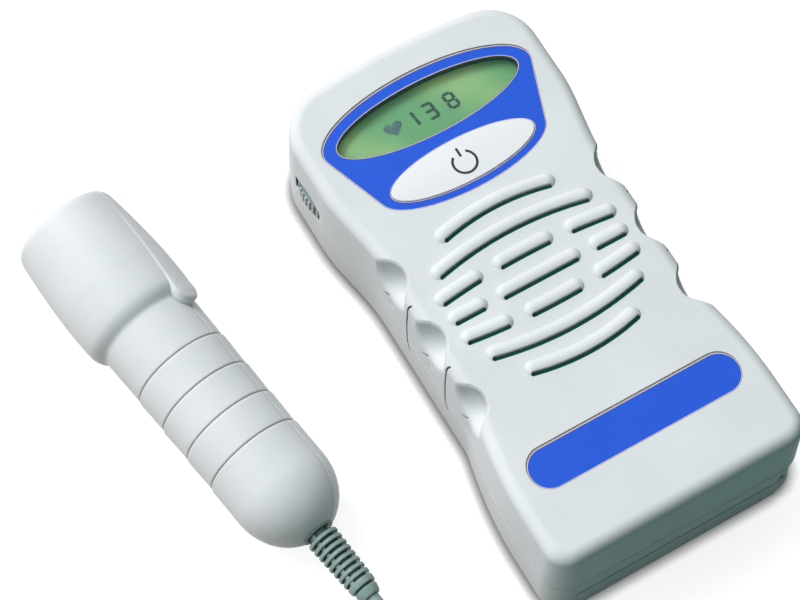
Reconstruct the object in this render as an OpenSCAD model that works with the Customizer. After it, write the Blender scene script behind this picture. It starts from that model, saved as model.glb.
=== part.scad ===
// Hand-held fetal heart monitor with a liquid crystal display, a louvred
// loudspeaker and a wired ultrasound probe. Millimetres, +Z up.
// The origin is the middle of the monitor's flat back, and +Y runs from the
// battery end to the display end. The probe lies beside the monitor.

/* [Case] */
// Length of the case from end to end
case_len = 152; // [149:0.5:156]
// Width of the case at the battery end
body_w = 77.2; // [76:0.1:80]
// Width of the case at the display end
head_w = 75.6; // [74.5:0.1:78]
// Width of the case between the finger scallops
waist_w = 68.8; // [68:0.1:71]
// Height of the case from back to front
case_h = 37; // [36:0.5:40]
// Height of the joint between the two case halves
parting_z = 16.7; // [16:0.1:18]
// Thickness of the moulded walls
wall = 2.2; // [1.8:0.1:2.4]
// Rounding between the front face and the sides
front_round = 3.6; // [3:0.1:4]
// Rounding between the back face and the sides
back_round = 2; // [1.5:0.1:2.4]
// Lean of the sides from the joint to the front
draft = 0.4; // [0.2:0.1:0.6]
// Corner radius at the battery end, seen from the front
tail_corner = 7; // [6:0.5:8]
// Corner radius at the display end, seen from the front
head_corner = 15; // [14:0.5:17]
// Radius of the shallow arc across the display end
crown_r = 200; // [180:5:260]

/* [Finger scallops] */
// Number of scallops on each side
scallops = 3; // [2:1:3]
// Distance between scallops
scallop_pitch = 20.3; // [19:0.1:21]
// Radius of each scallop where it cuts the front face
scallop_r = 5.5; // [5:0.1:6]
// Depth of the centre of each scallop below the front face
scallop_drop = 4.5; // [3.5:0.1:5]
// Depth of the crease between two scallops
crease_depth = 0.6; // [0.4:0.1:0.8]

/* [Loudspeaker grille] */
// Place of the grille centre along the case
grille_y = -5; // [-7:0.5:-3]
// Distance between louvre rows
row_pitch = 7.95; // [7.6:0.05:8.1]
// Width of each louvre slit
slit_w = 1.05; // [0.8:0.05:1.2]
// Radius of the hood over each slit
hood_r = 2.6; // [2.4:0.1:2.8]
// Depth of the hood's centre below the front face
hood_sink = 1.15; // [1:0.05:1.4]
// Outer diameter of the loudspeaker
speaker_d = 50.8; // [48:0.2:51]
// Depth of the loudspeaker from flange to magnet
speaker_depth = 18; // [16:0.5:18.2]

/* [Display and button] */
// Width of the display opening
lcd_w = 55.5; // [53:0.5:57]
// Height of the display opening
lcd_l = 16.2; // [15:0.2:17]
// Distance from the display end of the case to the display centre
lcd_end = 22.4; // [21.5:0.1:24]
// Distance between the display centre and the button centre
button_gap = 18.5; // [18:0.1:19.5]
// Width of the power button
button_w = 43.2; // [41:0.2:44]
// Length of the power button along the case
button_l = 12.6; // [12:0.2:13]
// Press of the power button
button_travel = 0.8; // [0.5:0.1:1]
// Thickness of the printed overlays
label_t = 0.35; // [0.25:0.05:0.5]
// Length of the straight part of the lower overlay
band_w = 51; // [48:1:54]
// Width of the lower overlay
band_l = 11.6; // [10:0.2:13]

/* [Volume wheel] */
// Diameter of the volume wheel
wheel_d = 26; // [25:0.5:27]
// Thickness of the volume wheel
wheel_t = 4.4; // [4:0.2:5]
// Number of grip notches round the wheel
wheel_notches = 50; // [40:1:60]
// How far the wheel's rim stands out of the side
wheel_out = 0.9; // [0.4:0.1:1.2]

/* [Batteries and door] */
// Diameter of a battery cell
cell_d = 14.5; // [13.5:0.1:14.5]
// Length of a battery cell with its terminal
cell_l = 50.5; // [49:0.1:50.5]
// Width of the battery door
door_w = 62; // [61:0.5:63]
// Length of the battery door along the back
door_l = 35; // [34.5:0.1:36]
// Thickness of the battery door
door_t = 2; // [1.8:0.1:2.2]
// Height of the door's end lip
door_lip = 9; // [8:0.5:10]

/* [Sockets] */
// Bore radius of the probe socket
socket_r = 3.5; // [3:0.1:3.8]
// Bore depth of the probe socket
socket_depth = 10; // [8:0.5:11]
// Bore radius of the earphone jack
jack_r = 1.8; // [1.75:0.05:1.9]
// Bore depth of the earphone jack
jack_depth = 12; // [11:0.5:13]

/* [Probe] */
// Radius of the probe's head at its widest
probe_head_r = 16.8; // [16.4:0.1:17.4]
// Radius of the probe's handle
probe_grip_r = 14.3; // [13.8:0.1:14.8]
// Wall thickness of the probe's shells
probe_wall = 2; // [1.6:0.1:2.4]
// Distance between the ring grooves of the handle
ring_pitch = 10.3; // [9.8:0.1:10.8]
// Length of the rounded tail of the probe
tail_len = 17.2; // [16:0.1:19]

/* [Cord] */
// Diameter of the probe's cord
cord_d = 3.8; // [3.4:0.1:3.9]
// Turns in each layer of the coiled cord
coil_turns = 5; // [4:1:5]

/* [Hidden] */

fit = 0.3;          // clearance between pieces that must not touch
seat = 0.1;         // clearance between pieces that seat on each other
over = 1;           // how far a cut runs past the face it opens

case_color = "#DEE3E6";
overlay_color = "#2F62DE";
button_color = "#E4E9ED";
metal_color = "#B9BCC0";
board_color = "#1E6B3C";
dark_color = "#22333A";

// Moves along the case, worked out from the ends and the grille
front_end = case_len / 2;
tail_end = -case_len / 2;
lcd_y = front_end - lcd_end;
button_y = lcd_y - button_gap;
band_y = tail_end + 25.4;
inner_top = case_h - wall;

// ---------------------------------------------------------------- case plan

function ease(t) = let (s = max(0, min(1, t))) s * s * (3 - 2 * s);
function unit(v) = v / norm(v);

// Stations where the waist opens into the head and the body
head_from = grille_y + 23;
head_to = grille_y + 51;
body_from = grille_y - 21;
body_to = grille_y - 53;

// Half width of the case at the joint, at a place along it
function half_w(y) = waist_w / 2
    + (head_w - waist_w) / 2 * ease((y - head_from) / (head_to - head_from))
    + (body_w - waist_w) / 2 * ease(pow(max(0, (body_from - y) / (body_from - body_to)), 0.6));

// Edge of the display end, a shallow arc
function crown_y(x) = front_end - crown_r + sqrt(crown_r * crown_r - x * x);

head_cx = head_w / 2 - head_corner;
head_cy = crown_y(head_cx) - head_corner;
side_steps = 19;
corner_steps = 6;
crown_steps = 3;

plan_right = concat(
    [[0, tail_end]],
    [for (i = [0:corner_steps]) let (a = -90 + 90 * i / corner_steps)
        [body_w / 2 - tail_corner + tail_corner * cos(a),
         tail_end + tail_corner + tail_corner * sin(a)]],
    [for (i = [1:side_steps])
        let (y = tail_end + tail_corner + (head_cy - tail_end - tail_corner) * i / (side_steps + 1))
        [half_w(y), y]],
    [for (i = [0:corner_steps]) let (a = 90 * i / corner_steps)
        [head_cx + head_corner * cos(a), head_cy + head_corner * sin(a)]],
    [for (i = [1:crown_steps]) let (x = head_cx * (1 - i / crown_steps)) [x, crown_y(x)]]
);
half_n = len(plan_right);
plan = concat(plan_right, [for (i = [half_n - 2:-1:1]) [-plan_right[i][0], plan_right[i][1]]]);
plan_n = len(plan);

// Outward normal of the plan at one of its points
function plan_normal(i) =
    let (d = plan[(i + 1) % plan_n] - plan[(i + plan_n - 1) % plan_n]) unit([d[1], -d[0]]);
normals = [for (i = [0:plan_n - 1]) plan_normal(i)];

// The plan drawn in by an inset, at a height
function plan_ring(z, inset) =
    [for (i = [0:plan_n - 1]) let (p = plan[i] - normals[i] * inset) [p[0], p[1], z]];

// A closed skin through rings of the plan; each level is [height, inset]
module skin(levels) {
    rings = len(levels);
    points = [for (level = levels) each plan_ring(level[0], level[1])];
    walls = [for (r = [0:rings - 2]) for (i = [0:plan_n - 1])
        let (j = (i + 1) % plan_n, a = r * plan_n, b = a + plan_n)
        each [[a + i, b + i, b + j], [a + i, b + j, a + j]]];
    bottom = [[for (i = [0:plan_n - 1]) i]];
    top = [[for (i = [plan_n - 1:-1:0]) (rings - 1) * plan_n + i]];
    polyhedron(points, concat(walls, bottom, top), convexity = 8);
}

round_steps = 4;
// Levels of the outer skin of the front half, and of the back half
front_levels = concat([[parting_z, 0]],
    [for (i = [0:round_steps]) let (a = 90 * i / round_steps)
        [case_h - front_round * (1 - sin(a)), draft + front_round * (1 - cos(a))]]);
back_levels = concat(
    [for (i = [0:round_steps - 1]) let (a = 90 * i / (round_steps - 1))
        [back_round * (1 - cos(a)), draft / 2 + back_round * (1 - sin(a))]],
    [[parting_z - 0.05, 0]]);
inner_round = 2;
front_hollow = [[parting_z - over, wall], [inner_top - inner_round, wall + draft],
    [inner_top, wall + draft + inner_round * 0.6]];
back_hollow = [[wall, wall + 1], [wall + 1, wall + draft / 2], [parting_z + over, wall]];

// ------------------------------------------------------- shared placements

screw_shank_r = 1.1;
screw_head_r = 2.6;
boss_r = 3.2;
case_screw_x = head_w / 2 - 10.3;
case_screw_y = tail_end + 4.4 + 2 * cell_d + 8.6;
case_screw_at = [[case_screw_x, front_end - 5.8], [-case_screw_x, front_end - 5.8],
    [waist_w / 2 - 4.9, case_screw_y], [4.9 - waist_w / 2, case_screw_y]];

board_t = 1.6;
magnet_gap = 2.3;   // from the board to the loudspeaker's magnet
board_z = inner_top - 0.9 - speaker_depth - magnet_gap - board_t;
board_w = 58;
board_from = grille_y - 24;
board_to = front_end - 16;
board_screw_at = [[25.5, board_from + 4], [-25.5, board_from + 4],
    [25.5, grille_y + 27], [-25.5, grille_y + 27]];

display_w = 58;
display_z = inner_top - 7.8;
display_from = button_y - 7.6;
display_to = lcd_y + 12.6;
display_screw_at = [[26, button_y - 4.4], [-26, button_y - 4.4]];

wheel_axis = [-(head_w / 2) - wheel_out + wheel_d / 2, lcd_y - 0.2];
wheel_z = parting_z + 0.9;
pot_pin_r = 2;

socket_x = 16;
jack_x = -3;
socket_nose_r = socket_r + 2.2;
jack_nose_r = jack_r + 1.9;

bay_gap = 1.2;
cell_z = 0.3 + door_t + 0.4 + cell_d / 2;
cell_rear_y = tail_end + 4.4 + cell_d / 2;
cell_front_y = cell_rear_y + cell_d + bay_gap;
bay_w = cell_l + 6.6;
bay_from = tail_end + wall + 1.4;
bay_to = cell_front_y + cell_d / 2 + 0.3;
bay_top = cell_z + cell_d / 2 + 0.5;
bay_wall = 1.5;
tongue_t = 1;
tongue_w = 1.5;

speaker_z = inner_top - 0.9;

// ------------------------------------------------------------ small shapes

module oval(w, l, h) {
    linear_extrude(h) scale([w / 2, l / 2]) circle(1, $fn = 56);
}

module stadium(w, r, h) {
    linear_extrude(h) {
        square([w, 2 * r], center = true);
        for (s = [-1, 1]) translate([s * w / 2, 0]) circle(r, $fn = 48);
    }
}

module block(w, l, h) {
    translate([-w / 2, -l / 2, 0]) cube([w, l, h]);
}

module screw(shank, length, head, head_h) {
    translate([0, 0, -head_h]) difference() {
        cylinder(h = head_h, r = head, $fn = 32);
        translate([-head * 0.6, -0.3, -over]) cube([head * 1.2, 0.6, over + 0.5]);
        translate([-0.3, -head * 0.6, -over]) cube([0.6, head * 1.2, over + 0.5]);
    }
    cylinder(h = length, r = shank, $fn = 24);
}

// The printed overlay's outline follows the display and the button
module overlay_plan(grow) {
    hull() {
        translate([0, lcd_y]) scale([lcd_w / 2 + 4.1 + grow, lcd_l / 2 + 3.3 + grow])
            circle(1, $fn = 64);
        translate([0, button_y]) scale([button_w / 2 + 3.7 + grow, button_l / 2 + 2.6 + grow])
            circle(1, $fn = 64);
    }
}

// ------------------------------------------------------------ louvre rows

row_count = 7;
row_half = [16.4, 22.8, 26, 26, 26, 22.8, 16.4];
// Slit spans of a row, from left to right
function row_spans(k) = abs(k) > 1 ? [[-row_half[k + 3], row_half[k + 3]]]
    : abs(k) == 1 ? [[-26, -13.8], [-7.6, 7.6], [13.8, 26]]
    : [[-26, -16.9], [-11.4, 11.4], [16.9, 26]];
bow = 0.00033;      // how strongly the rows bow out, per row and mm of width
function row_y(k, x) = grille_y + k * row_pitch * (1 - bow * x * x);
function row_lean(k, x) = unit([1, -2 * k * row_pitch * bow * x]);

// A place beside a row: along it by x, and off it towards the display end
function row_at(k, x, off) =
    let (t = row_lean(k, x)) [x - t[1] * off, row_y(k, x) + t[0] * off];

hood_cut = 1.25;                             // from the hood's ridge to its slit
hood_off = hood_cut + slit_w / 2;            // from the slit's middle to the ridge
hood_end = sqrt(hood_r * hood_r - hood_sink * hood_sink);
hood_sides = 5;

// Cross-section of a hood where its radius has shrunk to r
function hood_section(k, x, r) =
    let (half = sqrt(max(0.01, r * r - hood_sink * hood_sink)), root = case_h - 0.6)
    concat(
        [for (i = [0:hood_sides])
            let (v = half * cos(180 * i / hood_sides), p = row_at(k, x, hood_off + v))
            [p[0], p[1], case_h - hood_sink + sqrt(max(0, r * r - v * v))]],
        [let (p = row_at(k, x, hood_off - half)) [p[0], p[1], root]],
        [let (p = row_at(k, x, hood_off + half)) [p[0], p[1], root]]);

// A hood over one span: a half-sunk tube whose ends close like a ball
module hood(k, span) {
    mid_steps = max(2, ceil((span[1] - span[0]) / 7.5));
    ends = [0.9, 0.6];
    stations = concat(
        [for (e = ends) [span[0] - e * hood_end + 1.1, e]],
        [for (i = [0:mid_steps]) [span[0] + 1.1 + (span[1] - span[0] - 2.2) * i / mid_steps, 0]],
        [for (i = [1:-1:0]) [span[1] + ends[i] * hood_end - 1.1, ends[i]]]);
    sides = hood_sides + 3;
    count = len(stations);
    points = [for (s = stations)
        each hood_section(k, s[0], sqrt(hood_r * hood_r - pow(s[1] * hood_end, 2)))];
    walls = [for (r = [0:count - 2]) for (i = [0:sides - 1])
        let (j = (i + 1) % sides, a = r * sides, b = a + sides)
        each [[a + i, b + j, a + j], [a + i, b + i, b + j]]];
    polyhedron(points, concat(walls, [[for (i = [0:sides - 1]) i]],
        [[for (i = [sides - 1:-1:0]) (count - 1) * sides + i]]), convexity = 4);
}

// A slit through the wall beside a hood: a thin bowed strip with cut corners
module slit(k, span) {
    links = max(1, ceil((span[1] - span[0]) / 8));
    x0 = span[0] + slit_w / 3;
    link = (span[1] - span[0] - slit_w * 2 / 3) / links;
    translate([0, 0, inner_top - over]) linear_extrude(wall + 2 * over + hood_r) polygon(concat(
        [row_at(k, span[0], slit_w / 5), row_at(k, span[0], -slit_w / 5)],
        [for (i = [0:links]) row_at(k, x0 + i * link, -slit_w / 2)],
        [row_at(k, span[1], -slit_w / 5), row_at(k, span[1], slit_w / 5)],
        [for (i = [links:-1:0]) row_at(k, x0 + i * link, slit_w / 2)]));
}

// ---------------------------------------------------------- finger scallops

scallop_ball = sqrt(scallop_r * scallop_r + scallop_drop * scallop_drop);
function scallop_at(i) = grille_y - 0.3 + (i - (scallops - 1) / 2) * scallop_pitch;

module scallop_balls(grow) {
    for (s = [-1, 1]) for (i = [0:scallops - 1])
        translate([s * (waist_w / 2 + 0.9), scallop_at(i), case_h - scallop_drop])
            sphere(scallop_ball + grow, $fn = grow > 0 ? 16 : 28);
}

// Fine creases down the sides between the scallops
module creases() {
    for (s = [-1, 1]) for (i = [0:scallops - 2])
        translate([s * (waist_w / 2 + 0.25), scallop_at(i) + scallop_pitch / 2, 0]) hull() {
            translate([0, 0, back_round + 1]) cylinder(h = 1, r = 0.3, $fn = 8);
            translate([0, 0, back_round + 5]) cylinder(h = case_h - front_round - back_round - 6,
                r = crease_depth + 0.25, $fn = 8);
        }
}

// ------------------------------------------------------- strap recess

strap_x = body_w / 2 + 0.4;
strap_y = tail_end - 0.6;
strap_z = parting_z - 7;
strap_ball = 8.6;
strap_post_r = 1.5;

module strap_recess() {
    translate([strap_x, strap_y, strap_z]) sphere(strap_ball, $fn = 32);
}

module strap_pocket() {
    translate([strap_x, strap_y, strap_z]) sphere(strap_ball + 1.6, $fn = 16);
}

boss_web_x = head_w / 2 - 3;
// A boss joined to the nearest side wall by a web
module webbed_boss(p, z, h) {
    hull() {
        translate([p[0], p[1], z]) cylinder(h = h, r = boss_r, $fn = 20);
        translate([sign(p[0]) * (min(half_w(p[1]), boss_web_x) - wall - 1) - 0.5, p[1] - 1, z])
            cube([1, 2, h]);
    }
}

// ------------------------------------------------------------ case halves

module socket_holes() {
    translate([socket_x, front_end - wall - 2 * over, parting_z]) rotate([-90, 0, 0])
        cylinder(h = wall + 4 * over, r = socket_nose_r + 0.15, $fn = 40);
    translate([jack_x, front_end - wall - 2 * over, parting_z]) rotate([-90, 0, 0])
        cylinder(h = wall + 4 * over, r = jack_nose_r + 0.15, $fn = 40);
}

// A recess for the thumb, and the room that the wheel turns in
module wheel_room() {
    translate([wheel_axis[0], wheel_axis[1], parting_z - over])
        cylinder(h = wheel_z - parting_z + wheel_t + over + 0.5, r = wheel_d / 2 + 0.5, $fn = 48);
    translate([-head_w / 2 - 10.3, wheel_axis[1], wheel_z + wheel_t / 2])
        scale([1, 1, 0.5]) sphere(14, $fn = 36);
}

module top_case() {
    color(case_color) {
        difference() {
            union() {
                difference() {
                    skin(front_levels);
                    skin(front_hollow);
                }
                intersection() {
                    skin(front_levels);
                    union() {
                        scallop_balls(wall - 0.4);
                        strap_pocket();
                        // Wall behind the thumb recess of the wheel
                        translate([-head_w / 2 - 10.3, wheel_axis[1], wheel_z + wheel_t / 2])
                            scale([1, 1, 0.56]) sphere(15.6, $fn = 20);
                    }
                }
                for (k = [-3:3]) for (span = row_spans(k)) hood(k, span);
            }
            for (k = [-3:3]) for (span = row_spans(k)) slit(k, span);
            scallop_balls(0);
            creases();
            strap_recess();
            socket_holes();
            wheel_room();
            // Display and button openings, and the beds of the two overlays
            translate([0, lcd_y, inner_top - over]) oval(lcd_w, lcd_l, wall + 2 * over);
            translate([0, button_y, inner_top - over])
                oval(button_w + 2 * fit, button_l + 2 * fit, wall + 2 * over);
            translate([0, 0, case_h - label_t]) linear_extrude(over) overlay_plan(seat);
            translate([0, band_y, case_h - label_t])
                stadium(band_w, band_l / 2 + seat, over);
        }
        // Bosses for the case screws, and pillars for the display board
        for (p = case_screw_at) difference() {
            webbed_boss(p, parting_z + seat, inner_top - parting_z - seat + 0.2);
            translate([p[0], p[1], parting_z - over])
                cylinder(h = 9, r = screw_shank_r + 0.08, $fn = 16);
        }
        for (p = display_screw_at) translate([p[0], p[1], display_z + board_t])
            difference() {
                cylinder(h = inner_top - display_z - board_t + 0.2, r = 2.4, $fn = 20);
                translate([0, 0, -over]) cylinder(h = 5, r = 0.98, $fn = 16);
            }
        // Ring that locates the loudspeaker, and the clips that hold it
        translate([0, grille_y, speaker_z - 1.2]) difference() {
            cylinder(h = inner_top - speaker_z + 1.4, r = speaker_d / 2 + 1.3, $fn = 48);
            translate([0, 0, -over])
                cylinder(h = 9, r = speaker_d / 2 + 0.2, $fn = 48);
        }
    }
}

// The room that the battery door and its tongues fill in the back
module door_room() {
    translate([-door_w / 2 - 0.15, tail_end - over, -over])
        cube([door_w + 0.3, door_l + over + 0.15, over + 0.3 + door_t + 0.15]);
    // The tongues' grooves run out through the end wall, so the door slides off
    translate([-door_w / 2 - tongue_w - 0.3, tail_end - over, 0.3 + door_t - tongue_t - 0.3])
        cube([door_w + 2 * tongue_w + 0.6, door_l + over + 0.15, tongue_t + 0.45]);
    translate([-door_w / 2 - 0.15, tail_end - over, -over])
        cube([door_w + 0.3, over + wall + 0.15, over + door_lip + 0.15]);
}

module bottom_case() {
    color(case_color) difference() {
        union() {
            difference() {
                skin(back_levels);
                skin(back_hollow);
            }
            intersection() {
                skin(back_levels);
                strap_pocket();
            }
            // Box of the battery bay; it stands clear of the front half's wall
            translate([-bay_w / 2 - bay_wall, tail_end + wall - 0.3, 0.5])
                cube([bay_w + 2 * bay_wall, bay_to + bay_wall - tail_end - wall + 0.3,
                    parting_z - 1]);
            translate([-bay_w / 2 - bay_wall, tail_end + wall + 0.4, 0.5])
                cube([bay_w + 2 * bay_wall, bay_to + bay_wall - tail_end - wall - 0.4,
                    bay_top + bay_wall - 0.5]);
            // Rails beside the door, thick enough for its grooves
            for (s = [-1, 1]) translate([s * (door_w / 2 + 0.8) - 2.4, tail_end + wall - 0.5, 0.5])
                cube([4.8, door_l + 2, door_t + 2.4]);
            for (p = case_screw_at) webbed_boss(p, 0.5, parting_z - 0.5);
            for (p = board_screw_at) translate([p[0], p[1], wall - 0.2])
                cylinder(h = board_z - wall + 0.2, r = 2.4, $fn = 20);
        }
        translate([-bay_w / 2, bay_from, -over])
            cube([bay_w, bay_to - bay_from, bay_top + over]);
        door_room();
        for (p = case_screw_at) translate([p[0], p[1], 0]) {
            translate([0, 0, -over]) cylinder(h = 6 + over, r = screw_head_r + 0.2, $fn = 20);
            cylinder(h = parting_z + over, r = screw_shank_r + 0.2, $fn = 16);
        }
        for (p = board_screw_at) translate([p[0], p[1], board_z - 6])
            cylinder(h = 6 + over, r = 0.98, $fn = 16);
        creases();
        strap_recess();
        socket_holes();
    }
    // Post that a wrist strap is looped round
    color(case_color) translate([strap_x - 4, strap_y + 4.2, 1])
        cylinder(h = parting_z - 1.2, r = strap_post_r, $fn = 16);
}

module battery_door() {
    color(case_color) translate([0, 0, 0.3]) {
        difference() {
            union() {
                translate([-door_w / 2, tail_end, 0]) cube([door_w, door_l, door_t]);
                translate([-door_w / 2 - tongue_w, tail_end + wall + 0.2, door_t - tongue_t])
                    cube([door_w + 2 * tongue_w, door_l - wall - 0.2, tongue_t]);
                translate([-door_w / 2, tail_end, 0]) cube([door_w, wall, door_lip - 0.3]);
            }
            // Grip ridges for the thumb, cut into the outer face
            for (i = [0:4]) translate([-12, tail_end + 8 + 2.4 * i, -over])
                cube([24, 1.1, over + 0.6]);
        }
    }
}

// ---------------------------------------------------- overlays and display

module upper_overlay() {
    color(overlay_color) translate([0, 0, case_h - label_t + 0.02]) linear_extrude(label_t)
        difference() {
            overlay_plan(0);
            translate([0, lcd_y]) scale([lcd_w / 2, lcd_l / 2]) circle(1, $fn = 72);
            translate([0, button_y]) scale([button_w / 2 + fit, button_l / 2 + fit])
                circle(1, $fn = 72);
        }
}

module lower_overlay() {
    color(overlay_color) translate([0, band_y, case_h - label_t + 0.02])
        stadium(band_w, band_l / 2, label_t);
}

window_t = 1.2;
glass_t = 2.8;
module lcd_window() {
    color("#E8F2EE", 0.5) translate([0, lcd_y, inner_top - 0.05 - window_t])
        block(lcd_w + 4.5, lcd_l + 3.2, window_t);
}

glass_z = inner_top - 0.05 - window_t - 0.25 - glass_t;
module lcd_panel() {
    color("#86A878") {
        translate([0, lcd_y, glass_z]) block(lcd_w + 3, lcd_l + 3.8, glass_t / 2);
        translate([0, lcd_y + 0.6, glass_z + glass_t / 2]) block(lcd_w + 3, lcd_l + 2.6, glass_t / 2);
    }
}

module lcd_holder() {
    color("#D8DCDA") translate([0, lcd_y, display_z + board_t]) difference() {
        block(lcd_w + 6.4, lcd_l + 5.4, glass_z + glass_t - display_z - board_t);
        translate([0, 0, glass_z - display_z - board_t])
            block(lcd_w + 3.3, lcd_l + 4.1, glass_t + over);
        translate([0, 0, -over]) block(lcd_w + 1, lcd_l + 2.4, 9);
    }
}

module contact_strips() {
    color("#5A5F62") for (s = [-1, 1])
        translate([0, lcd_y + s * (lcd_l / 2 - 0.2), display_z + board_t])
            block(lcd_w - 4, 1.8, glass_z - display_z - board_t);
}

module display_board() {
    color(board_color) difference() {
        translate([-display_w / 2, display_from, display_z])
            cube([display_w, display_to - display_from, board_t]);
        for (p = display_screw_at) translate([p[0], p[1], display_z - over])
            cylinder(h = board_t + 2 * over, r = 1.2, $fn = 24);
    }
}

// ------------------------------------------------------------ power button

switch_h = 3.4;
switch_z = display_z + board_t;
plunger_r = 1.7;
plunger_top = switch_z + switch_h + 1;
button_top = case_h + 0.35;
flange_top = inner_top - fit;

module power_button() {
    color(button_color) translate([0, button_y, 0]) {
        // The cap's edge is rounded by two thinner ovals on top
        translate([0, 0, flange_top - 1]) oval(button_w, button_l, button_top - flange_top + 0.5);
        translate([0, 0, button_top - 0.5]) oval(button_w - 0.5, button_l - 0.5, 0.3);
        translate([0, 0, button_top - 0.2]) oval(button_w - 1.3, button_l - 1.3, 0.2);
        translate([0, 0, flange_top - 1]) oval(button_w + 2.6, button_l + 1.8, 1);
        translate([0, 0, plunger_top + 0.05])
            cylinder(h = flange_top - plunger_top - 0.5, r = 2.6, $fn = 32);
    }
}

module power_switch() {
    color("#2B2B2E") translate([0, button_y, switch_z]) difference() {
        block(6.2, 6.2, switch_h);
        translate([0, 0, 1.2]) cylinder(h = switch_h, r = plunger_r + 0.08, $fn = 32);
    }
}

module switch_plunger() {
    color("#3A3A3D") translate([0, button_y, switch_z + switch_h - 1])
        cylinder(h = plunger_top - switch_z - switch_h + 1, r = plunger_r, $fn = 32);
}

// -------------------------------------------------------------- electronics

module main_board() {
    color(board_color) difference() {
        translate([-board_w / 2, board_from, board_z])
            cube([board_w, board_to - board_from, board_t]);
        for (p = board_screw_at) translate([p[0], p[1], board_z - over])
            cylinder(h = board_t + 2 * over, r = 1.2, $fn = 24);
        // Notches beside the bosses of the case screws
        for (p = case_screw_at) translate([p[0], p[1], board_z - over])
            cylinder(h = board_t + 2 * over, r = boss_r + 0.4, $fn = 32);
    }
}

module board_parts() {
    color(dark_color) translate([0, 0, board_z + board_t]) {
        translate([8, front_end - 34, 0]) block(12, 12, 1.4);
        translate([8, front_end - 48, 0]) block(8, 5, 1.4);
        translate([22, front_end - 40, 0]) block(5, 8, 1.4);
        for (i = [0:2]) translate([22, front_end - 26 + 0 * i - 6.5 * (i - 1), 0])
            cylinder(h = 7, r = 2.5, $fn = 24);
        translate([-9, grille_y + 34, 0]) block(7, 4, 2);
        for (i = [0:3]) translate([-20 + 13 * i, board_from + 10, 0]) block(4, 7, 1.2);
    }
}

module board_screws() {
    color(metal_color) for (p = board_screw_at)
        translate([p[0], p[1], board_z + board_t]) rotate([180, 0, 0]) screw(0.9, 5.5, 2, 1);
}

module display_screws() {
    color(metal_color) for (p = display_screw_at)
        translate([p[0], p[1], display_z]) screw(0.9, 5, 2, 1);
}

module case_screws() {
    color(metal_color) for (p = case_screw_at)
        translate([p[0], p[1], 6]) screw(screw_shank_r, parting_z, screw_head_r, 2);
}

// -------------------------------------------------------------- loudspeaker

cone_r = speaker_d / 2 - 2.4;
magnet_r = speaker_d * 0.27;
magnet_h = speaker_depth * 0.36;
basket_z = speaker_z - (speaker_depth - magnet_h);

module speaker_frame() {
    color("#8D9296") translate([0, grille_y, 0]) rotate_extrude($fn = 72) polygon([
        [cone_r, speaker_z], [speaker_d / 2, speaker_z], [speaker_d / 2, speaker_z - 1],
        [cone_r + 0.6, speaker_z - 1], [magnet_r + 1, basket_z], [magnet_r - 4, basket_z],
        [magnet_r - 4, basket_z + 1], [magnet_r + 0.4, basket_z + 1], [cone_r - 0.4, speaker_z - 1]]);
}

module speaker_cone() {
    color("#2C3436") translate([0, grille_y, 0]) rotate_extrude($fn = 72) polygon([
        [0, basket_z + 5.2], [6, basket_z + 3.8], [8, basket_z + 2], [8.6, basket_z + 2],
        [cone_r - 2.6, speaker_z - 1.8], [cone_r - 1.6, speaker_z - 1],
        [cone_r - 0.3, speaker_z - 0.7], [cone_r - 0.3, speaker_z - 0.3],
        [cone_r - 1.8, speaker_z - 0.4], [cone_r - 3, speaker_z - 1.4],
        [8, basket_z + 3], [6.4, basket_z + 4.6], [0, basket_z + 6]]);
}

module speaker_magnet() {
    color(metal_color) translate([0, grille_y, basket_z - magnet_h]) {
        cylinder(h = magnet_h - 0.02, r = magnet_r, $fn = 64);
    }
}

module speaker_cloth() {
    color("#0E4B47") translate([0, grille_y, speaker_z + 0.05])
        cylinder(h = inner_top - speaker_z - 0.15, r = speaker_d / 2, $fn = 72);
}

// ------------------------------------------------------------ volume wheel

module volume_wheel() {
    root_r = wheel_d / 2 - 0.55;
    tip = 360 / wheel_notches;
    outline = [for (i = [0:wheel_notches - 1]) each [
        (wheel_d / 2) * [cos(tip * i), sin(tip * i)],
        (wheel_d / 2) * [cos(tip * (i + 0.42)), sin(tip * (i + 0.42))],
        root_r * [cos(tip * (i + 0.58)), sin(tip * (i + 0.58))],
        root_r * [cos(tip * (i + 0.84)), sin(tip * (i + 0.84))]]];
    color("#C9CED1") translate([wheel_axis[0], wheel_axis[1], wheel_z]) difference() {
        union() {
            linear_extrude(wheel_t) polygon(outline);
            translate([0, 0, -0.5]) cylinder(h = 1, r = 4.5, $fn = 40);
        }
        // Dished top and the bore on the pot's pin
        translate([0, 0, wheel_t - 0.8]) cylinder(h = over, r = wheel_d / 2 - 2.4, $fn = 64);
        translate([0, 0, -over]) cylinder(h = wheel_t + 2 * over, r = pot_pin_r + 0.05, $fn = 32);
    }
}

module volume_pot() {
    base_z = board_z + board_t;
    color("#3B4A44") translate([wheel_axis[0], wheel_axis[1], base_z]) {
        translate([0, 0, 0]) block(10, 10, wheel_z - 0.6 - base_z);
        cylinder(h = wheel_z + wheel_t - 1 - base_z, r = pot_pin_r, $fn = 32);
    }
}

module wheel_screw() {
    color(metal_color) translate([wheel_axis[0], wheel_axis[1], wheel_z + wheel_t - 0.8]) {
        cylinder(h = 0.7, r = 3.1, $fn = 32);
    }
}

// ----------------------------------------------------------------- sockets

module probe_socket() {
    color(metal_color) translate([socket_x, front_end - 0.3, parting_z]) rotate([90, 0, 0])
        difference() {
            union() {
                cylinder(h = wall + 2, r = socket_nose_r, $fn = 48);
                translate([0, 0, wall + 1.5]) cylinder(h = socket_depth - wall + 0.2,
                    r = socket_nose_r + 0.8, $fn = 48);
            }
            translate([0, 0, -over]) cylinder(h = socket_depth + over, r = socket_r, $fn = 48);
        }
}

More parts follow.
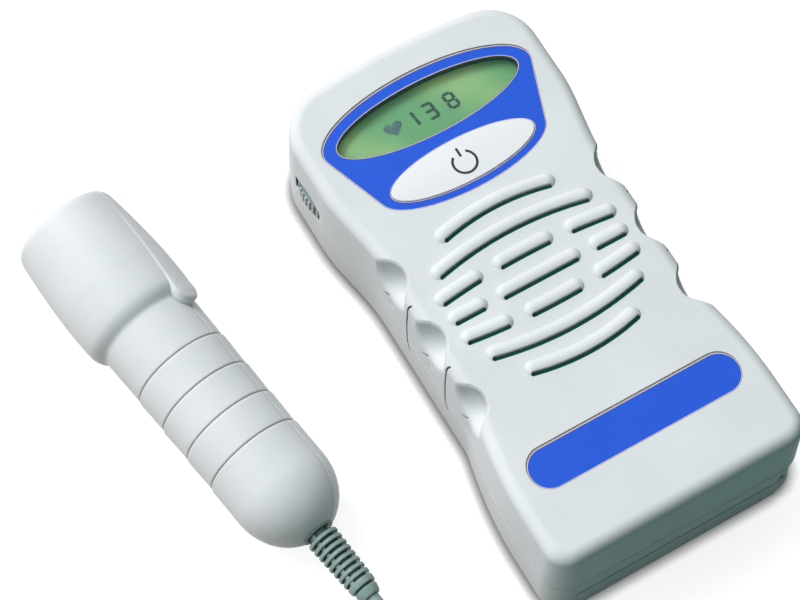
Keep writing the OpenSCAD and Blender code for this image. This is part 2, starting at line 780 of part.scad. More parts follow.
module earphone_jack() {
    color(dark_color) translate([jack_x, front_end - 0.3, parting_z]) rotate([90, 0, 0])
        difference() {
            union() {
                cylinder(h = wall + 0.5, r = jack_nose_r, $fn = 48);
                translate([-jack_nose_r - 0.8, -jack_nose_r - 0.4, wall + 0.3])
                    cube([2 * jack_nose_r + 1.6, 2 * jack_nose_r + 0.8, jack_depth - wall + 1]);
            }
            translate([0, 0, -over]) cylinder(h = jack_depth + over, r = jack_r, $fn = 40);
        }
}

// --------------------------------------------------------------- batteries

nub_r = 2.7;
nub_h = 1.3;
cap_r = cell_d / 2;

module cell() {
    rotate([0, 90, 0]) translate([0, 0, -cell_l / 2]) rotate_extrude($fn = 48) polygon([
        [0, 0], [cap_r - 1.8, 0], [cap_r - 0.5, 0.4], [cap_r, 0.9],
        [cap_r, cell_l - nub_h - 0.9], [cap_r - 0.5, cell_l - nub_h - 0.3],
        [cap_r - 1.6, cell_l - nub_h], [nub_r, cell_l - nub_h],
        [nub_r - 0.3, cell_l], [0, cell_l]]);
}

module battery_front() {
    color("#4A4E52") translate([0, cell_front_y, cell_z]) cell();
}

module battery_rear() {
    color("#4A4E52") translate([0, cell_rear_y, cell_z]) rotate([0, 0, 180]) cell();
}

plate_t = 0.4;
// Ends of the bay: a plate at the cell's nub, a plate with a spring at its flat end
module battery_plates() {
    color(metal_color) for (s = [-1, 1]) for (y = [cell_front_y, cell_rear_y])
        translate([s * (bay_w / 2 - 0.1) - (s > 0 ? plate_t : 0), y - 5, cell_z - 5])
            cube([plate_t, 10, 10]);
}

// ---------------------------------------------------------- swept tubes

// A closed tube along points; side 0 of each ring lies level beside the path
module tube(path, r, sides) {
    count = len(path);
    points = [for (i = [0:count - 1])
        let (t = unit(path[min(i + 1, count - 1)] - path[max(i - 1, 0)]),
             side = unit(cross(t, abs(t[2]) > 0.9 ? [1, 0, 0] : [0, 0, 1])), up = cross(side, t))
        each [for (k = [0:sides - 1]) let (a = 360 * k / sides)
            path[i] + r * (cos(a) * side + sin(a) * up)]];
    walls = [for (i = [0:count - 2]) for (k = [0:sides - 1])
        let (m = (k + 1) % sides, a = i * sides, b = a + sides)
        each [[a + k, b + m, b + k], [a + k, a + m, b + m]]];
    polyhedron(points, concat(walls, [[for (k = [sides - 1:-1:0]) k]],
        [[for (k = [0:sides - 1]) (count - 1) * sides + k]]), convexity = 10);
}

spring_wire = 0.6;
spring_turns = 4;
spring_len = bay_w / 2 - cell_l / 2 - plate_t - 0.3;
// A conical spring, wound round X from its wide foot to its narrow end
function spring_path(s) = [for (i = [0:12 * spring_turns])
    let (u = i / (12 * spring_turns), r = 5.2 - 2.4 * u, a = 30 * i)
    [s * (spring_wire / 2 + 0.02 + (spring_len - spring_wire - 0.04) * u), r * cos(a), r * sin(a)]];

module battery_springs() {
    foot = bay_w / 2 - plate_t - 0.1;
    color(metal_color) {
        translate([-foot, cell_front_y, cell_z]) tube(spring_path(1), spring_wire / 2, 6);
        translate([foot, cell_rear_y, cell_z]) tube(spring_path(-1), spring_wire / 2, 6);
    }
}

// -------------------------------------------------------------------- probe

// The probe lies on its head and its handle; its axis runs towards the face
probe_turn = 99;
seam_angle = 231;       // where the shells' seam and the hanging tongue lie, round the axis
head_from_s = 53;       // along the axis: foot of the head
neck_s = 45;            // foot of the cone under the head
face_s = 86;            // the flat face
ring_s = 33.4;          // first ring groove
tail_s = -9;            // start of the rounded tail
relief_s = -23.6;       // where the strain relief leaves the tail
relief_end = -46.5;     // tip of the strain relief
ring_count = 4;
ring_depth = 0.45;
step = 0.4;             // how much each grip ring narrows towards the head

module probe_place() {
    translate(probe_at) rotate([0, 0, probe_turn]) rotate([0, 90 - probe_tilt, 0]) children();
}

// The axis rises from the handle to the wider head; both lie on the table
probe_tilt = asin((probe_head_r - probe_grip_r) / (head_from_s + 5 - tail_s));
probe_at = [-85, -5, seat + probe_grip_r * cos(probe_tilt) - tail_s * sin(probe_tilt)];
probe_dir = [cos(probe_turn) * cos(probe_tilt), sin(probe_turn) * cos(probe_tilt), sin(probe_tilt)];

// Radius of the rounded tail, drawn in by an inset
function tail_r(s, inset) =
    (probe_grip_r - inset) * sqrt(max(0, 1 - pow((tail_s - s) / (tail_len - inset), 2)));
tail_steps = 12;
relief_neck = 3.5;

// Outline of the grip, from its tail to the head, with the ring grooves
function grip_outline() = concat(
    [for (i = [0:tail_steps])
        let (a = 90 * i / tail_steps * 0.865 + 12)
        [probe_grip_r * sin(a + 0), tail_s - tail_len * cos(a)]],
    [for (i = [ring_count - 1:-1:0]) let (s = ring_s - ring_pitch * i)
        each [[probe_grip_r - 0.05 - step * 0.2, s - 0.45], [probe_grip_r - step - ring_depth, s - 0.2],
              [probe_grip_r - step - ring_depth, s + 0.2], [probe_grip_r - step + 0.02, s + 0.45]]],
    [[probe_grip_r, neck_s - 3], [probe_grip_r + 0.15, neck_s], [probe_head_r - 0.5, head_from_s - 1],
     [probe_head_r - 0.1, head_from_s + 1.5], [probe_head_r, head_from_s + 5],
     [probe_head_r - 0.25, head_from_s + 14], [probe_head_r - 0.85, head_from_s + 22],
     [probe_head_r - 1.35, face_s - 4.5], [probe_head_r - 1.75, face_s - 1.6],
     [probe_head_r - 2.3, face_s - 0.5], [probe_head_r - 3, face_s]]);

module grip_solid() {
    rotate_extrude($fn = 96) polygon(concat([[0, tail_s - tail_len]], grip_outline(), [[0, face_s]]));
}

face_r = probe_head_r - 3.2;
module grip_hollow() {
    rotate_extrude($fn = 72) polygon([
        [0, tail_s - 6], [6, tail_s - 6], [probe_grip_r - probe_wall - 1.5, tail_s + 4],
        [probe_grip_r - probe_wall - 1.2, neck_s - 2], [probe_head_r - probe_wall - 1.6, head_from_s + 3],
        [probe_head_r - probe_wall - 1.6, face_s - 6], [face_r - 1, face_s - 6],
        [face_r - 1, face_s - 3], [face_r + 0.05, face_s - 3], [face_r + 0.05, face_s + over],
        [0, face_s + over]]);
    // Seat of the strain relief
    translate([0, 0, tail_s - tail_len - over]) cylinder(h = 40, r = relief_neck + 0.05, $fn = 40);
    translate([0, 0, tail_s - tail_len - over]) cylinder(h = relief_s - tail_s + tail_len + over + 0.1,
        r = relief_r + 0.1, $fn = 48);
}

// One side of the seam, as a half space
module seam_side(s) {
    rotate([0, 0, seam_angle]) translate([-60, s > 0 ? 0 : -60, tail_s - 40]) cube([120, 60, 180]);
}

// The tongue stands off the seam: a wedge that widens to a round end
tongue_tip_r = 5.4;
tongue_s = neck_s + 6.2;
tongue_top_s = face_s - 7;
module tongue() {
    intersection() {
        rotate([0, 0, seam_angle]) translate([8, 0, 0]) rotate([0, 90, 0]) linear_extrude(20) {
            translate([-tongue_s, 0]) circle(tongue_tip_r, $fn = 40);
            polygon([[-tongue_s, tongue_tip_r], [-tongue_top_s, 1.2], [-tongue_top_s, -1.2],
                [-tongue_s, -tongue_tip_r]]);
        }
        rotate_extrude($fn = 96) polygon([
            [9, neck_s - 2], [probe_head_r - 0.6, neck_s - 2], [probe_head_r + 0.1, neck_s + 2],
            [probe_head_r + 0.3, head_from_s + 4], [probe_head_r + 0.15, head_from_s + 12],
            [probe_head_r - 0.55, head_from_s + 22], [probe_head_r - 1.3, tongue_top_s],
            [9, tongue_top_s]]);
    }
}

module shell_body() {
    difference() {
        grip_solid();
        grip_hollow();
    }
}

module probe_shell_upper() {
    color(case_color) probe_place() union() {
        intersection() {
            shell_body();
            seam_side(-1);
        }
        difference() {
            tongue();
            rotate_extrude($fn = 72) polygon([[0, 0], [probe_grip_r - probe_wall + 0.6, 0],
                [probe_grip_r - probe_wall + 0.6, neck_s + 1],
                [probe_head_r - probe_wall, head_from_s + 3],
                [probe_head_r - probe_wall, face_s], [0, face_s]]);
        }
    }
}

module probe_shell_lower() {
    color(case_color) probe_place() difference() {
        intersection() {
            shell_body();
            seam_side(1);
        }
        tongue();
    }
}

module probe_face() {
    color("#D4D8D6") probe_place() rotate_extrude($fn = 72) polygon([
        [0, face_s - 2.9], [face_r, face_s - 2.9], [face_r, face_s - 0.4],
        [face_r - 0.8, face_s + 0.1], [face_r * 0.6, face_s + 0.6], [0, face_s + 0.8]]);
}

module probe_crystals() {
    color("#B59A55") probe_place() for (s = [-1, 1]) translate([0, 0, face_s - 4.4])
        intersection() {
            cylinder(h = 1.4, r = face_r - 2, $fn = 64);
            translate([-20, s > 0 ? 0.4 : -20.4, -over]) cube([40, 20, 4]);
        }
}

// The board stands on its edge between ribs, and carries the crystals' leads
module probe_board() {
    color(board_color) probe_place() rotate([0, 0, seam_angle])
        translate([-9.5, -board_t / 2, tail_s + 6]) cube([19, board_t, face_s - 4.5 - tail_s - 6]);
}

relief_r = 4.3;
relief_ribs = 9;
rib_pitch = (relief_s - relief_end - 4) / relief_ribs;
function relief_at(s) = relief_r - 0.75 * (relief_s - s) / (relief_s - relief_end);

module strain_relief() {
    color("#9AA3A4") probe_place() {
            // Collar held in the tail, then the ribs on a thin core, then the tip
            translate([0, 0, relief_s - 1]) cylinder(h = 4.5, r = relief_neck, $fn = 40);
            translate([0, 0, relief_s + 9]) cylinder(h = 2, r = relief_neck + 1.6, $fn = 40);
            translate([0, 0, relief_s + 3]) cylinder(h = 6.5, r = relief_neck, $fn = 40);
            translate([0, 0, relief_end]) cylinder(h = relief_s - relief_end, r = 2.75, $fn = 32);
            for (i = [0:relief_ribs - 1]) {
                s = relief_s - rib_pitch * (i + 1);
                translate([0, 0, s]) cylinder(h = rib_pitch * 0.55, r1 = relief_at(s),
                    r2 = relief_at(s + rib_pitch * 0.55), $fn = 40);
                // Webs that join the ribs, turned a quarter from one gap to the next
                rotate([0, 0, 45 + 90 * (i % 2)]) translate([-relief_at(s) + 0.3, -1.1, s])
                    cube([2 * relief_at(s) - 0.6, 2.2, rib_pitch + (i == 0 ? 0 : 0.3)]);
            }
            translate([0, 0, relief_end])
                cylinder(h = 3.6, r1 = 2.75, r2 = relief_at(relief_end), $fn = 40);
    }
}

// --------------------------------------------------------------------- cord

cord_r = cord_d / 2;
coil_c = [-62, -122];
coil_gap = 0.45;
coil_out = 32.7;
coil_step = cord_d + coil_gap;
tie_t = 0.6;
tie_w = 8;
coil_z = cord_r + tie_t + seat;     // the tie passes under the coil
relief_tip = probe_at + probe_dir * relief_end;
// The free cord leaves the strain relief straight and comes down to the coil
cord_route = concat(
    [relief_tip, relief_tip - probe_dir * 4],
    [[-76.4, -60, 11.7], [-76.5, -66, 9.6], [-77.6, -72, 7], [-79.8, -78, 4.7], [-82.8, -84, 3.2],
     [-86.2, -90, 2.7], [-89.6, -96, 2.6], [-92.4, -102, 2.6], [-94.2, -108, 2.6]],
    [[coil_c[0] - coil_out, coil_c[1] + 8, coil_z], [coil_c[0] - coil_out, coil_c[1] + 4, coil_z]]);

coil_in = coil_out - coil_turns * coil_step;
loop_rings = 24;

// One layer in, half a turn of climbing, one layer out; a is counted in turns
coil_climb = 0.5;
coil_dip = 1.1;     // how far the climb draws in, to clear its neighbours
coil_total = 2 * coil_turns + coil_climb;
function coil_rad(a) = a <= coil_turns ? coil_out - coil_step * a
    : a <= coil_turns + coil_climb
        ? coil_in - coil_dip * sin(180 * (a - coil_turns) / coil_climb)
    : coil_in + coil_step * (a - coil_turns - coil_climb);
function coil_h(a) = coil_z + coil_step * ease((a - coil_turns) / coil_climb);
function coil_point(a) = [coil_c[0] - coil_rad(a) * cos(360 * a), coil_c[1] - coil_rad(a) * sin(360 * a),
    coil_h(a)];
coil_steps = round(coil_total * loop_rings * 0.985);
coil_last = coil_steps / loop_rings;
coil_end = coil_point(coil_last);
coil_exit = unit(coil_point(coil_last) - coil_point(coil_last - 0.02));
coil_path = concat([[coil_c[0] - coil_out, coil_c[1] + 4, coil_z]],
    [for (i = [0:coil_steps]) coil_point(i / loop_rings)],
    [coil_end + coil_exit * 4, coil_end + coil_exit * 10 - [0, 0, 0.5],
     coil_end + coil_exit * 16 - [0, 0, 1.3], coil_end + coil_exit * 20 - [0, 0, 1.5]]);

function path_length(p) = len(p) < 2 ? 0
    : [for (i = 1, d = 0; i <= len(p); d = d + (i < len(p) ? norm(p[i] - p[i - 1]) : 0), i = i + 1) d]
        [len(p) - 1];
near_turns = [for (i = [0:coil_steps]) for (j = [i + 8:coil_steps])
    norm(coil_path[i + 1] - coil_path[j + 1])];
union() {  // cord_coil
    echo(least_gap_of_coil = min(near_turns) - cord_d);
    echo(cord_length = path_length(cord_route) + path_length(coil_path));
}

module probe_cord() {
    color("#AEB4B4") tube(cord_route, cord_r, 8);
}

module cord_coil() {
    color("#AEB4B4") tube(coil_path, cord_r, 6);
}

module cord_tie() {
    low = coil_z - cord_r - 0.05;
    high = coil_z + coil_step + cord_r + 0.1;
    reach = coil_out + cord_r + 0.2;
    near = sqrt(pow(coil_in - coil_dip - cord_r, 2) - tie_w * tie_w / 4) - 0.2;
    color("#2A2D30") translate([coil_c[0] - tie_w / 2, coil_c[1] - reach - tie_t, 0])
        difference() {
            translate([0, 0, low - tie_t])
                cube([tie_w, reach - near + 2 * tie_t, high - low + 2 * tie_t]);
            translate([-over, tie_t, low]) cube([tie_w + 2 * over, reach - near, high - low]);
        }
}

plug_r = 5;
plug_start = coil_end + coil_exit * 20 - [0, 0, 1.5];
plug_turn = atan2(coil_exit[1], coil_exit[0]);

module plug_body() {
    color("#9AA3A4") translate(plug_start) rotate([0, 0, plug_turn]) rotate([0, 90, 0])
        rotate_extrude($fn = 48) polygon([[0, 0], [2.6, 0], [3.2, 9], [4.6, 11], [plug_r, 13],
            [plug_r, 27], [plug_r - 0.6, 28], [0, 28]]);
}

module plug_sleeve() {
    color(metal_color) translate(plug_start) rotate([0, 0, plug_turn]) rotate([0, 90, 0])
        translate([0, 0, 28]) rotate_extrude($fn = 40) polygon([[0, 0], [socket_r - 0.1, 0],
            [socket_r - 0.1, 8.6], [socket_r - 0.5, 9], [0, 9]]);
}

top_case();
bottom_case();
battery_door();
upper_overlay();
lower_overlay();
lcd_window();
lcd_panel();
lcd_holder();
contact_strips();
display_board();
power_button();
power_switch();
switch_plunger();
main_board();
board_parts();
board_screws();
display_screws();
speaker_frame();
speaker_cone();
speaker_magnet();
speaker_cloth();
volume_wheel();
volume_pot();
wheel_screw();
probe_socket();
earphone_jack();
battery_front();
battery_rear();
battery_springs();
battery_plates();
case_screws();
probe_shell_upper();
probe_shell_lower();
probe_face();
probe_crystals();
probe_board();
strain_relief();
probe_cord();
cord_coil();
cord_tie();
plug_body();
plug_sleeve();
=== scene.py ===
"""Dresses a hand-held fetal heart monitor and its wired ultrasound probe.

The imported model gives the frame. This script adds smooth mouldings, printed
films, the display's segments, the probe's shells, the cord and every finish.
Sizes in the classes are in millimetres, and the scene is in metres.
"""

import logging
import math
from dataclasses import dataclass, field
from enum import Enum
from typing import Sequence

import bpy
import numpy as np
from mathutils import Matrix, Vector


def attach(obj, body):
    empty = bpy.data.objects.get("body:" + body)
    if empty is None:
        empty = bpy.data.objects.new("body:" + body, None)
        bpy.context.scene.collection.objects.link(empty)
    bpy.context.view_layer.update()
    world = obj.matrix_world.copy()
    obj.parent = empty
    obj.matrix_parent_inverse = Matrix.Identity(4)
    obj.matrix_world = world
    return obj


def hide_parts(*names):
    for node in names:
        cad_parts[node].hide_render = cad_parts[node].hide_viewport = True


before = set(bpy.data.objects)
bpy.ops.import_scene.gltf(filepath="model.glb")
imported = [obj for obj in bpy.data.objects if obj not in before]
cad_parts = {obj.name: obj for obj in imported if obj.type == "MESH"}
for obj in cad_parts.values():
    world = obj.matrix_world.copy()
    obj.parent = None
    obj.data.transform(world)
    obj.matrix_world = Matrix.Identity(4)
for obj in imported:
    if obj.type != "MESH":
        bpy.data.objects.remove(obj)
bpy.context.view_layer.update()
LOG = logging.getLogger("monitor")
MM = 0.001
Point = tuple[float, float, float]
Flat = tuple[float, float]
Tree = bpy.types.NodeTree
Node = bpy.types.Node
Socket = bpy.types.NodeSocket
Material = bpy.types.Material
Piece = bpy.types.Object
Array = np.ndarray
Faces = list[list[int]]
Wall = tuple[Array, Faces]


# ------------------------------------------------------------------ small tools


def linear(hex_colour: str) -> tuple[float, float, float, float]:
    """Turns an sRGB hex colour into linear RGBA.

    Args:
        hex_colour: Six hex digits, with or without a leading hash.

    Returns:
        Linear red, green, blue and an alpha of 1.
    """
    digits = hex_colour.lstrip("#")
    channels = [int(digits[i : i + 2], 16) / 255 for i in (0, 2, 4)]
    values = [c / 12.92 if c <= 0.04045 else ((c + 0.055) / 1.055) ** 2.4 for c in channels]
    return (values[0], values[1], values[2], 1.0)


def add_node(tree: Tree, kind: str, links: dict | None = None, **settings) -> Node:
    """Adds a node with its settings, values and links.

    Args:
        tree: Node tree that gets the node.
        kind: Node type without its ShaderNode prefix.
        links: Input names or indices, each with a socket to link or a value to set.
        settings: Attributes of the node.

    Returns:
        The new node.
    """
    node = tree.nodes.new("ShaderNode" + kind)
    for name, value in settings.items():
        setattr(node, name, value)
    for key, value in (links or {}).items():
        if isinstance(value, Socket):
            tree.links.new(value, node.inputs[key])
        else:
            node.inputs[key].default_value = value
    return node


def ease(t: float) -> float:
    """Returns a smooth step of t from 0 to 1."""
    s = max(0.0, min(1.0, t))
    return s * s * (3 - 2 * s)


def surface_place(tree: Tree) -> Socket:
    """Returns a surface's place in the object's own space."""
    return add_node(tree, "TexCoord").outputs["Object"]


def worked(tree: Tree, operation: str, first: Socket, second: Socket | float) -> Socket:
    """Adds a sum of two values and returns its result."""
    return add_node(tree, "Math", {0: first, 1: second}, operation=operation).outputs["Value"]


def noise(tree: Tree, place: Socket, size: float, detail: float) -> Socket:
    """Adds noise with clouds of a size in millimetres and returns its value."""
    cloud = {"Vector": place, "Scale": 1 / (size * MM), "Detail": detail}
    return add_node(tree, "TexNoise", cloud).outputs["Fac"]


def ramp(tree: Tree, value: Socket, *stops: tuple[float, str]) -> Socket:
    """Turns a value into colours.

    Args:
        tree: Node tree of the material.
        value: What the colours follow.
        stops: Places from 0 to 1, in order, each with its sRGB hex colour.

    Returns:
        The colour.
    """
    node = add_node(tree, "ValToRGB", {"Fac": value})
    first, *middle, last = stops
    for point, (place, colour) in zip(node.color_ramp.elements, (first, last)):
        point.position = place
        point.color = linear(colour)
    for place, colour in middle:
        node.color_ramp.elements.new(place).color = linear(colour)
    return node.outputs["Color"]


def mixed(tree: Tree, share: Socket, low: Socket | str, high: Socket | str) -> Socket:
    """Mixes two colours, each a socket or an sRGB hex colour."""
    ends = [linear(colour) if isinstance(colour, str) else colour for colour in (low, high)]
    return add_node(tree, "Mix", {0: share, 6: ends[0], 7: ends[1]}, data_type="RGBA").outputs[2]


def raise_surface(tree: Tree, shader: Node, height: Socket, depth: float, strength: float,
                  **more: Socket) -> None:
    """Gives a shader a bump.

    Args:
        tree: Node tree of the material.
        shader: Shader whose normal is bent.
        height: Height from 0 to 1.
        depth: Height of 1 in millimetres.
        strength: Share of the bump that is used.
        more: Further sockets of the bump, such as its Normal.
    """
    bump = add_node(tree, "Bump", {"Height": height, "Distance": depth * MM, "Strength": strength} | more)
    tree.links.new(bump.outputs["Normal"], shader.inputs["Normal"])


def painted_crevice_shade(tree: Tree, colour: Socket, crevice_shade_colour: str, reach: float) -> Socket:
    """Mixes a darker colour into grooves and corners: painted shade, strongest where occlusion finds walls
    close by.

    Args:
        tree: Node tree of the material.
        colour: Colour of the open surface.
        crevice_shade_colour: sRGB hex colour of the closed corners.
        reach: How far, in millimetres, a corner's walls are felt.

    Returns:
        The mixed colour.
    """
    near = add_node(tree, "AmbientOcclusion", {"Distance": reach * MM}, samples=8)
    share = add_node(tree, "MapRange", {"Value": near.outputs["AO"], "From Min": 0.2, "From Max": 0.88})
    return mixed(tree, share.outputs["Result"], crevice_shade_colour, colour)


def backdrop_rays(tree: Tree) -> Socket:
    """Finds the rays that meet the white backdrop: seen, mirrored or through clear plastic.

    Args:
        tree: Node tree of the floor or the world.

    Returns:
        A socket that is 1 for those rays and 0 for the light that falls on the object.
    """
    rays = add_node(tree, "LightPath").outputs
    mirrored = worked(tree, "MAXIMUM", rays["Is Glossy Ray"], rays["Is Transmission Ray"])
    return worked(tree, "MAXIMUM", rays["Is Camera Ray"], mirrored)


# --------------------------------------------------------------------- finishes


@dataclass(frozen=True)
class Finish:
    """A surface finish, named for its material and how it was made."""

    name: str
    colour: str
    roughness: float
    ior: float = 1.5
    metallic: float = 0.0

    def build(self) -> Material:
        """Makes the material.

        Returns:
            The material with all its nodes.
        """
        known = bpy.data.materials.get(self.name)
        if known:
            return known
        material = bpy.data.materials.new(self.name)
        material.use_nodes = True
        tree = material.node_tree
        shader = tree.nodes["Principled BSDF"]
        shader.inputs["Base Color"].default_value = linear(self.colour)
        shader.inputs["Roughness"].default_value = self.roughness
        shader.inputs["IOR"].default_value = self.ior
        shader.inputs["Metallic"].default_value = self.metallic
        self.dress(tree, shader)
        material.diffuse_color = linear(self.colour)
        return material

    def dress(self, tree: Tree, shader: Node) -> None:
        """Adds the finish's own nodes; the plain finish has none."""


@dataclass(frozen=True)
class Moulded(Finish):
    """Injection-moulded plastic out of a spark-eroded or polished mould."""

    shade: str = "#D8DDE0"
    grit: float = 0.7
    relief: float = 0.012
    soften: float = 0.35
    # Painted shade: the colour mixed into grooves and corners, and how far close walls are felt
    crevice_shade_colour: str = "#877A71"
    reach: float = 1.5
    gloss: float = 0.25
    flow: float = 26.0

    def dress(self, tree: Tree, shader: Node) -> None:
        """Adds flow mottling, the mould's grit, painted shade in corners and softened edges."""
        place = surface_place(tree)
        mottled = ramp(tree, noise(tree, place, self.flow, 3.0), (0.32, self.shade), (0.68, self.colour))
        # Painted shade darkens the mottled colour in grooves and corners
        tree.links.new(painted_crevice_shade(tree, mottled, self.crevice_shade_colour, self.reach), shader.inputs["Base Color"])
        shader.inputs["Specular IOR Level"].default_value = self.gloss
        grain = noise(tree, place, self.grit, 2.0)
        edge = add_node(tree, "Bevel", {"Radius": self.soften * MM}, samples=6)
        raise_surface(tree, shader, grain, self.relief, 0.5, Normal=edge.outputs["Normal"])
        spread = {"Value": grain, "To Min": self.roughness - 0.05, "To Max": self.roughness + 0.07}
        rough = add_node(tree, "MapRange", spread)
        tree.links.new(rough.outputs["Result"], shader.inputs["Roughness"])


@dataclass(frozen=True)
class PrintedFilm(Finish):
    """Polycarbonate film, reverse printed, with a faint orange-peel surface."""

    dark: str = "#2456D8"
    cloud: float = 9.0
    peel: float = 1.1
    relief: float = 0.008
    gloss: float = 0.1

    def dress(self, tree: Tree, shader: Node) -> None:
        """Adds the ink's slight unevenness and the film's fine peel."""
        place = surface_place(tree)
        ink = ramp(tree, noise(tree, place, self.cloud, 4.0), (0.3, self.dark), (0.7, self.colour))
        tree.links.new(ink, shader.inputs["Base Color"])
        raise_surface(tree, shader, noise(tree, place, self.peel, 1.0), self.relief, 0.4)
        shader.inputs["Specular IOR Level"].default_value = self.gloss


@dataclass(frozen=True)
class LiquidCrystal(Finish):
    """Reflective liquid crystal cell: green, with a painted pale diagonal reflection and painted light given
    off by the cell.
    """

    # Colour of the painted pale reflection across the cell
    painted_reflection: str = "#A8C88C"
    # Strength of the painted light that the cell gives off; nothing lights it from behind
    painted_glow: float = 0.16
    lean: float = -32.0
    band: float = 95.0
    cloud: float = 14.0

    def dress(self, tree: Tree, shader: Node) -> None:
        """Adds pale diagonal bands across the cell as a painted reflection, and makes the cell give off its
        own colour as painted light.
        """
        place = surface_place(tree)
        turned = add_node(tree, "Mapping", {"Vector": place, "Rotation": (0.0, 0.0, math.radians(self.lean))})
        waves = {"Vector": turned.outputs["Vector"], "Scale": 1 / (self.band * MM), "Distortion": 1.1,
                 "Detail": 2.0, "Detail Scale": 0.6, "Phase Offset": 1.1}
        band = add_node(tree, "TexWave", waves, bands_direction="X").outputs["Fac"]
        both = worked(tree, "MULTIPLY", band, noise(tree, place, self.cloud, 3.0))
        green = ramp(tree, both, (0.15, self.colour), (0.66, self.painted_reflection))
        tree.links.new(green, shader.inputs["Base Color"])
        # Painted light: the cell gives off its own colour, though it has no lamp behind it
        tree.links.new(green, shader.inputs["Emission Color"])
        shader.inputs["Emission Strength"].default_value = self.painted_glow


@dataclass(frozen=True)
class Woven(Finish):
    """Cloth of crossing threads, a set distance apart."""

    thread: float = 0.45
    gap: str = "#072B29"

    def dress(self, tree: Tree, shader: Node) -> None:
        """Adds warp and weft as crossed waves; the real threads are finer."""
        waves = {"Vector": surface_place(tree), "Scale": 0.157 / (self.thread * MM)}
        warp = add_node(tree, "TexWave", waves, bands_direction="X").outputs["Fac"]
        weft = add_node(tree, "TexWave", waves, bands_direction="Y").outputs["Fac"]
        weave = worked(tree, "MAXIMUM", warp, weft)
        tree.links.new(ramp(tree, weave, (0.0, self.gap), (1.0, self.colour)), shader.inputs["Base Color"])
        raise_surface(tree, shader, weave, 0.05, 0.6)


@dataclass(frozen=True)
class Grained(Finish):
    """A finish whose colour and height vary in grains of one size."""

    second: str = "#808080"
    grain: float = 1.0
    relief: float = 0.01
    stretch: Point = (1.0, 1.0, 1.0)
    # Painted shade: colour mixed into grooves and corners, if one is given
    crevice_shade_colour: str = ""
    reach: float = 2.4

    def dress(self, tree: Tree, shader: Node) -> None:
        """Adds the grains to the colour and the surface."""
        pulled = add_node(tree, "Mapping", {"Vector": surface_place(tree), "Scale": self.stretch})
        grain = noise(tree, pulled.outputs["Vector"], self.grain, 3.0)
        shade = ramp(tree, grain, (0.35, self.second), (0.65, self.colour))
        if self.crevice_shade_colour:
            # Painted shade in grooves and corners
            shade = painted_crevice_shade(tree, shade, self.crevice_shade_colour, self.reach)
        tree.links.new(shade, shader.inputs["Base Color"])
        raise_surface(tree, shader, grain, self.relief, 0.5)


@dataclass(frozen=True)
class Clear(Finish):
    """Polished clear plastic that lets most light through."""

    def dress(self, tree: Tree, shader: Node) -> None:
        """Mixes in transparency, so that the cell below keeps its colour."""
        haze = noise(tree, surface_place(tree), 5.0, 2.0)
        rough = add_node(tree, "MapRange", {"Value": haze, "To Min": 0.04, "To Max": 0.09})
        tree.links.new(rough.outputs["Result"], shader.inputs["Roughness"])
        through = add_node(tree, "BsdfTransparent", {"Color": linear("#F6FBF7")})
        shine = add_node(tree, "Fresnel", {"IOR": 1.35})
        shares = {0: shine.outputs["Fac"], 1: through.outputs["BSDF"], 2: shader.outputs["BSDF"]}
        both = add_node(tree, "MixShader", shares).outputs["Shader"]
        tree.links.new(both, tree.nodes["Material Output"].inputs["Surface"])


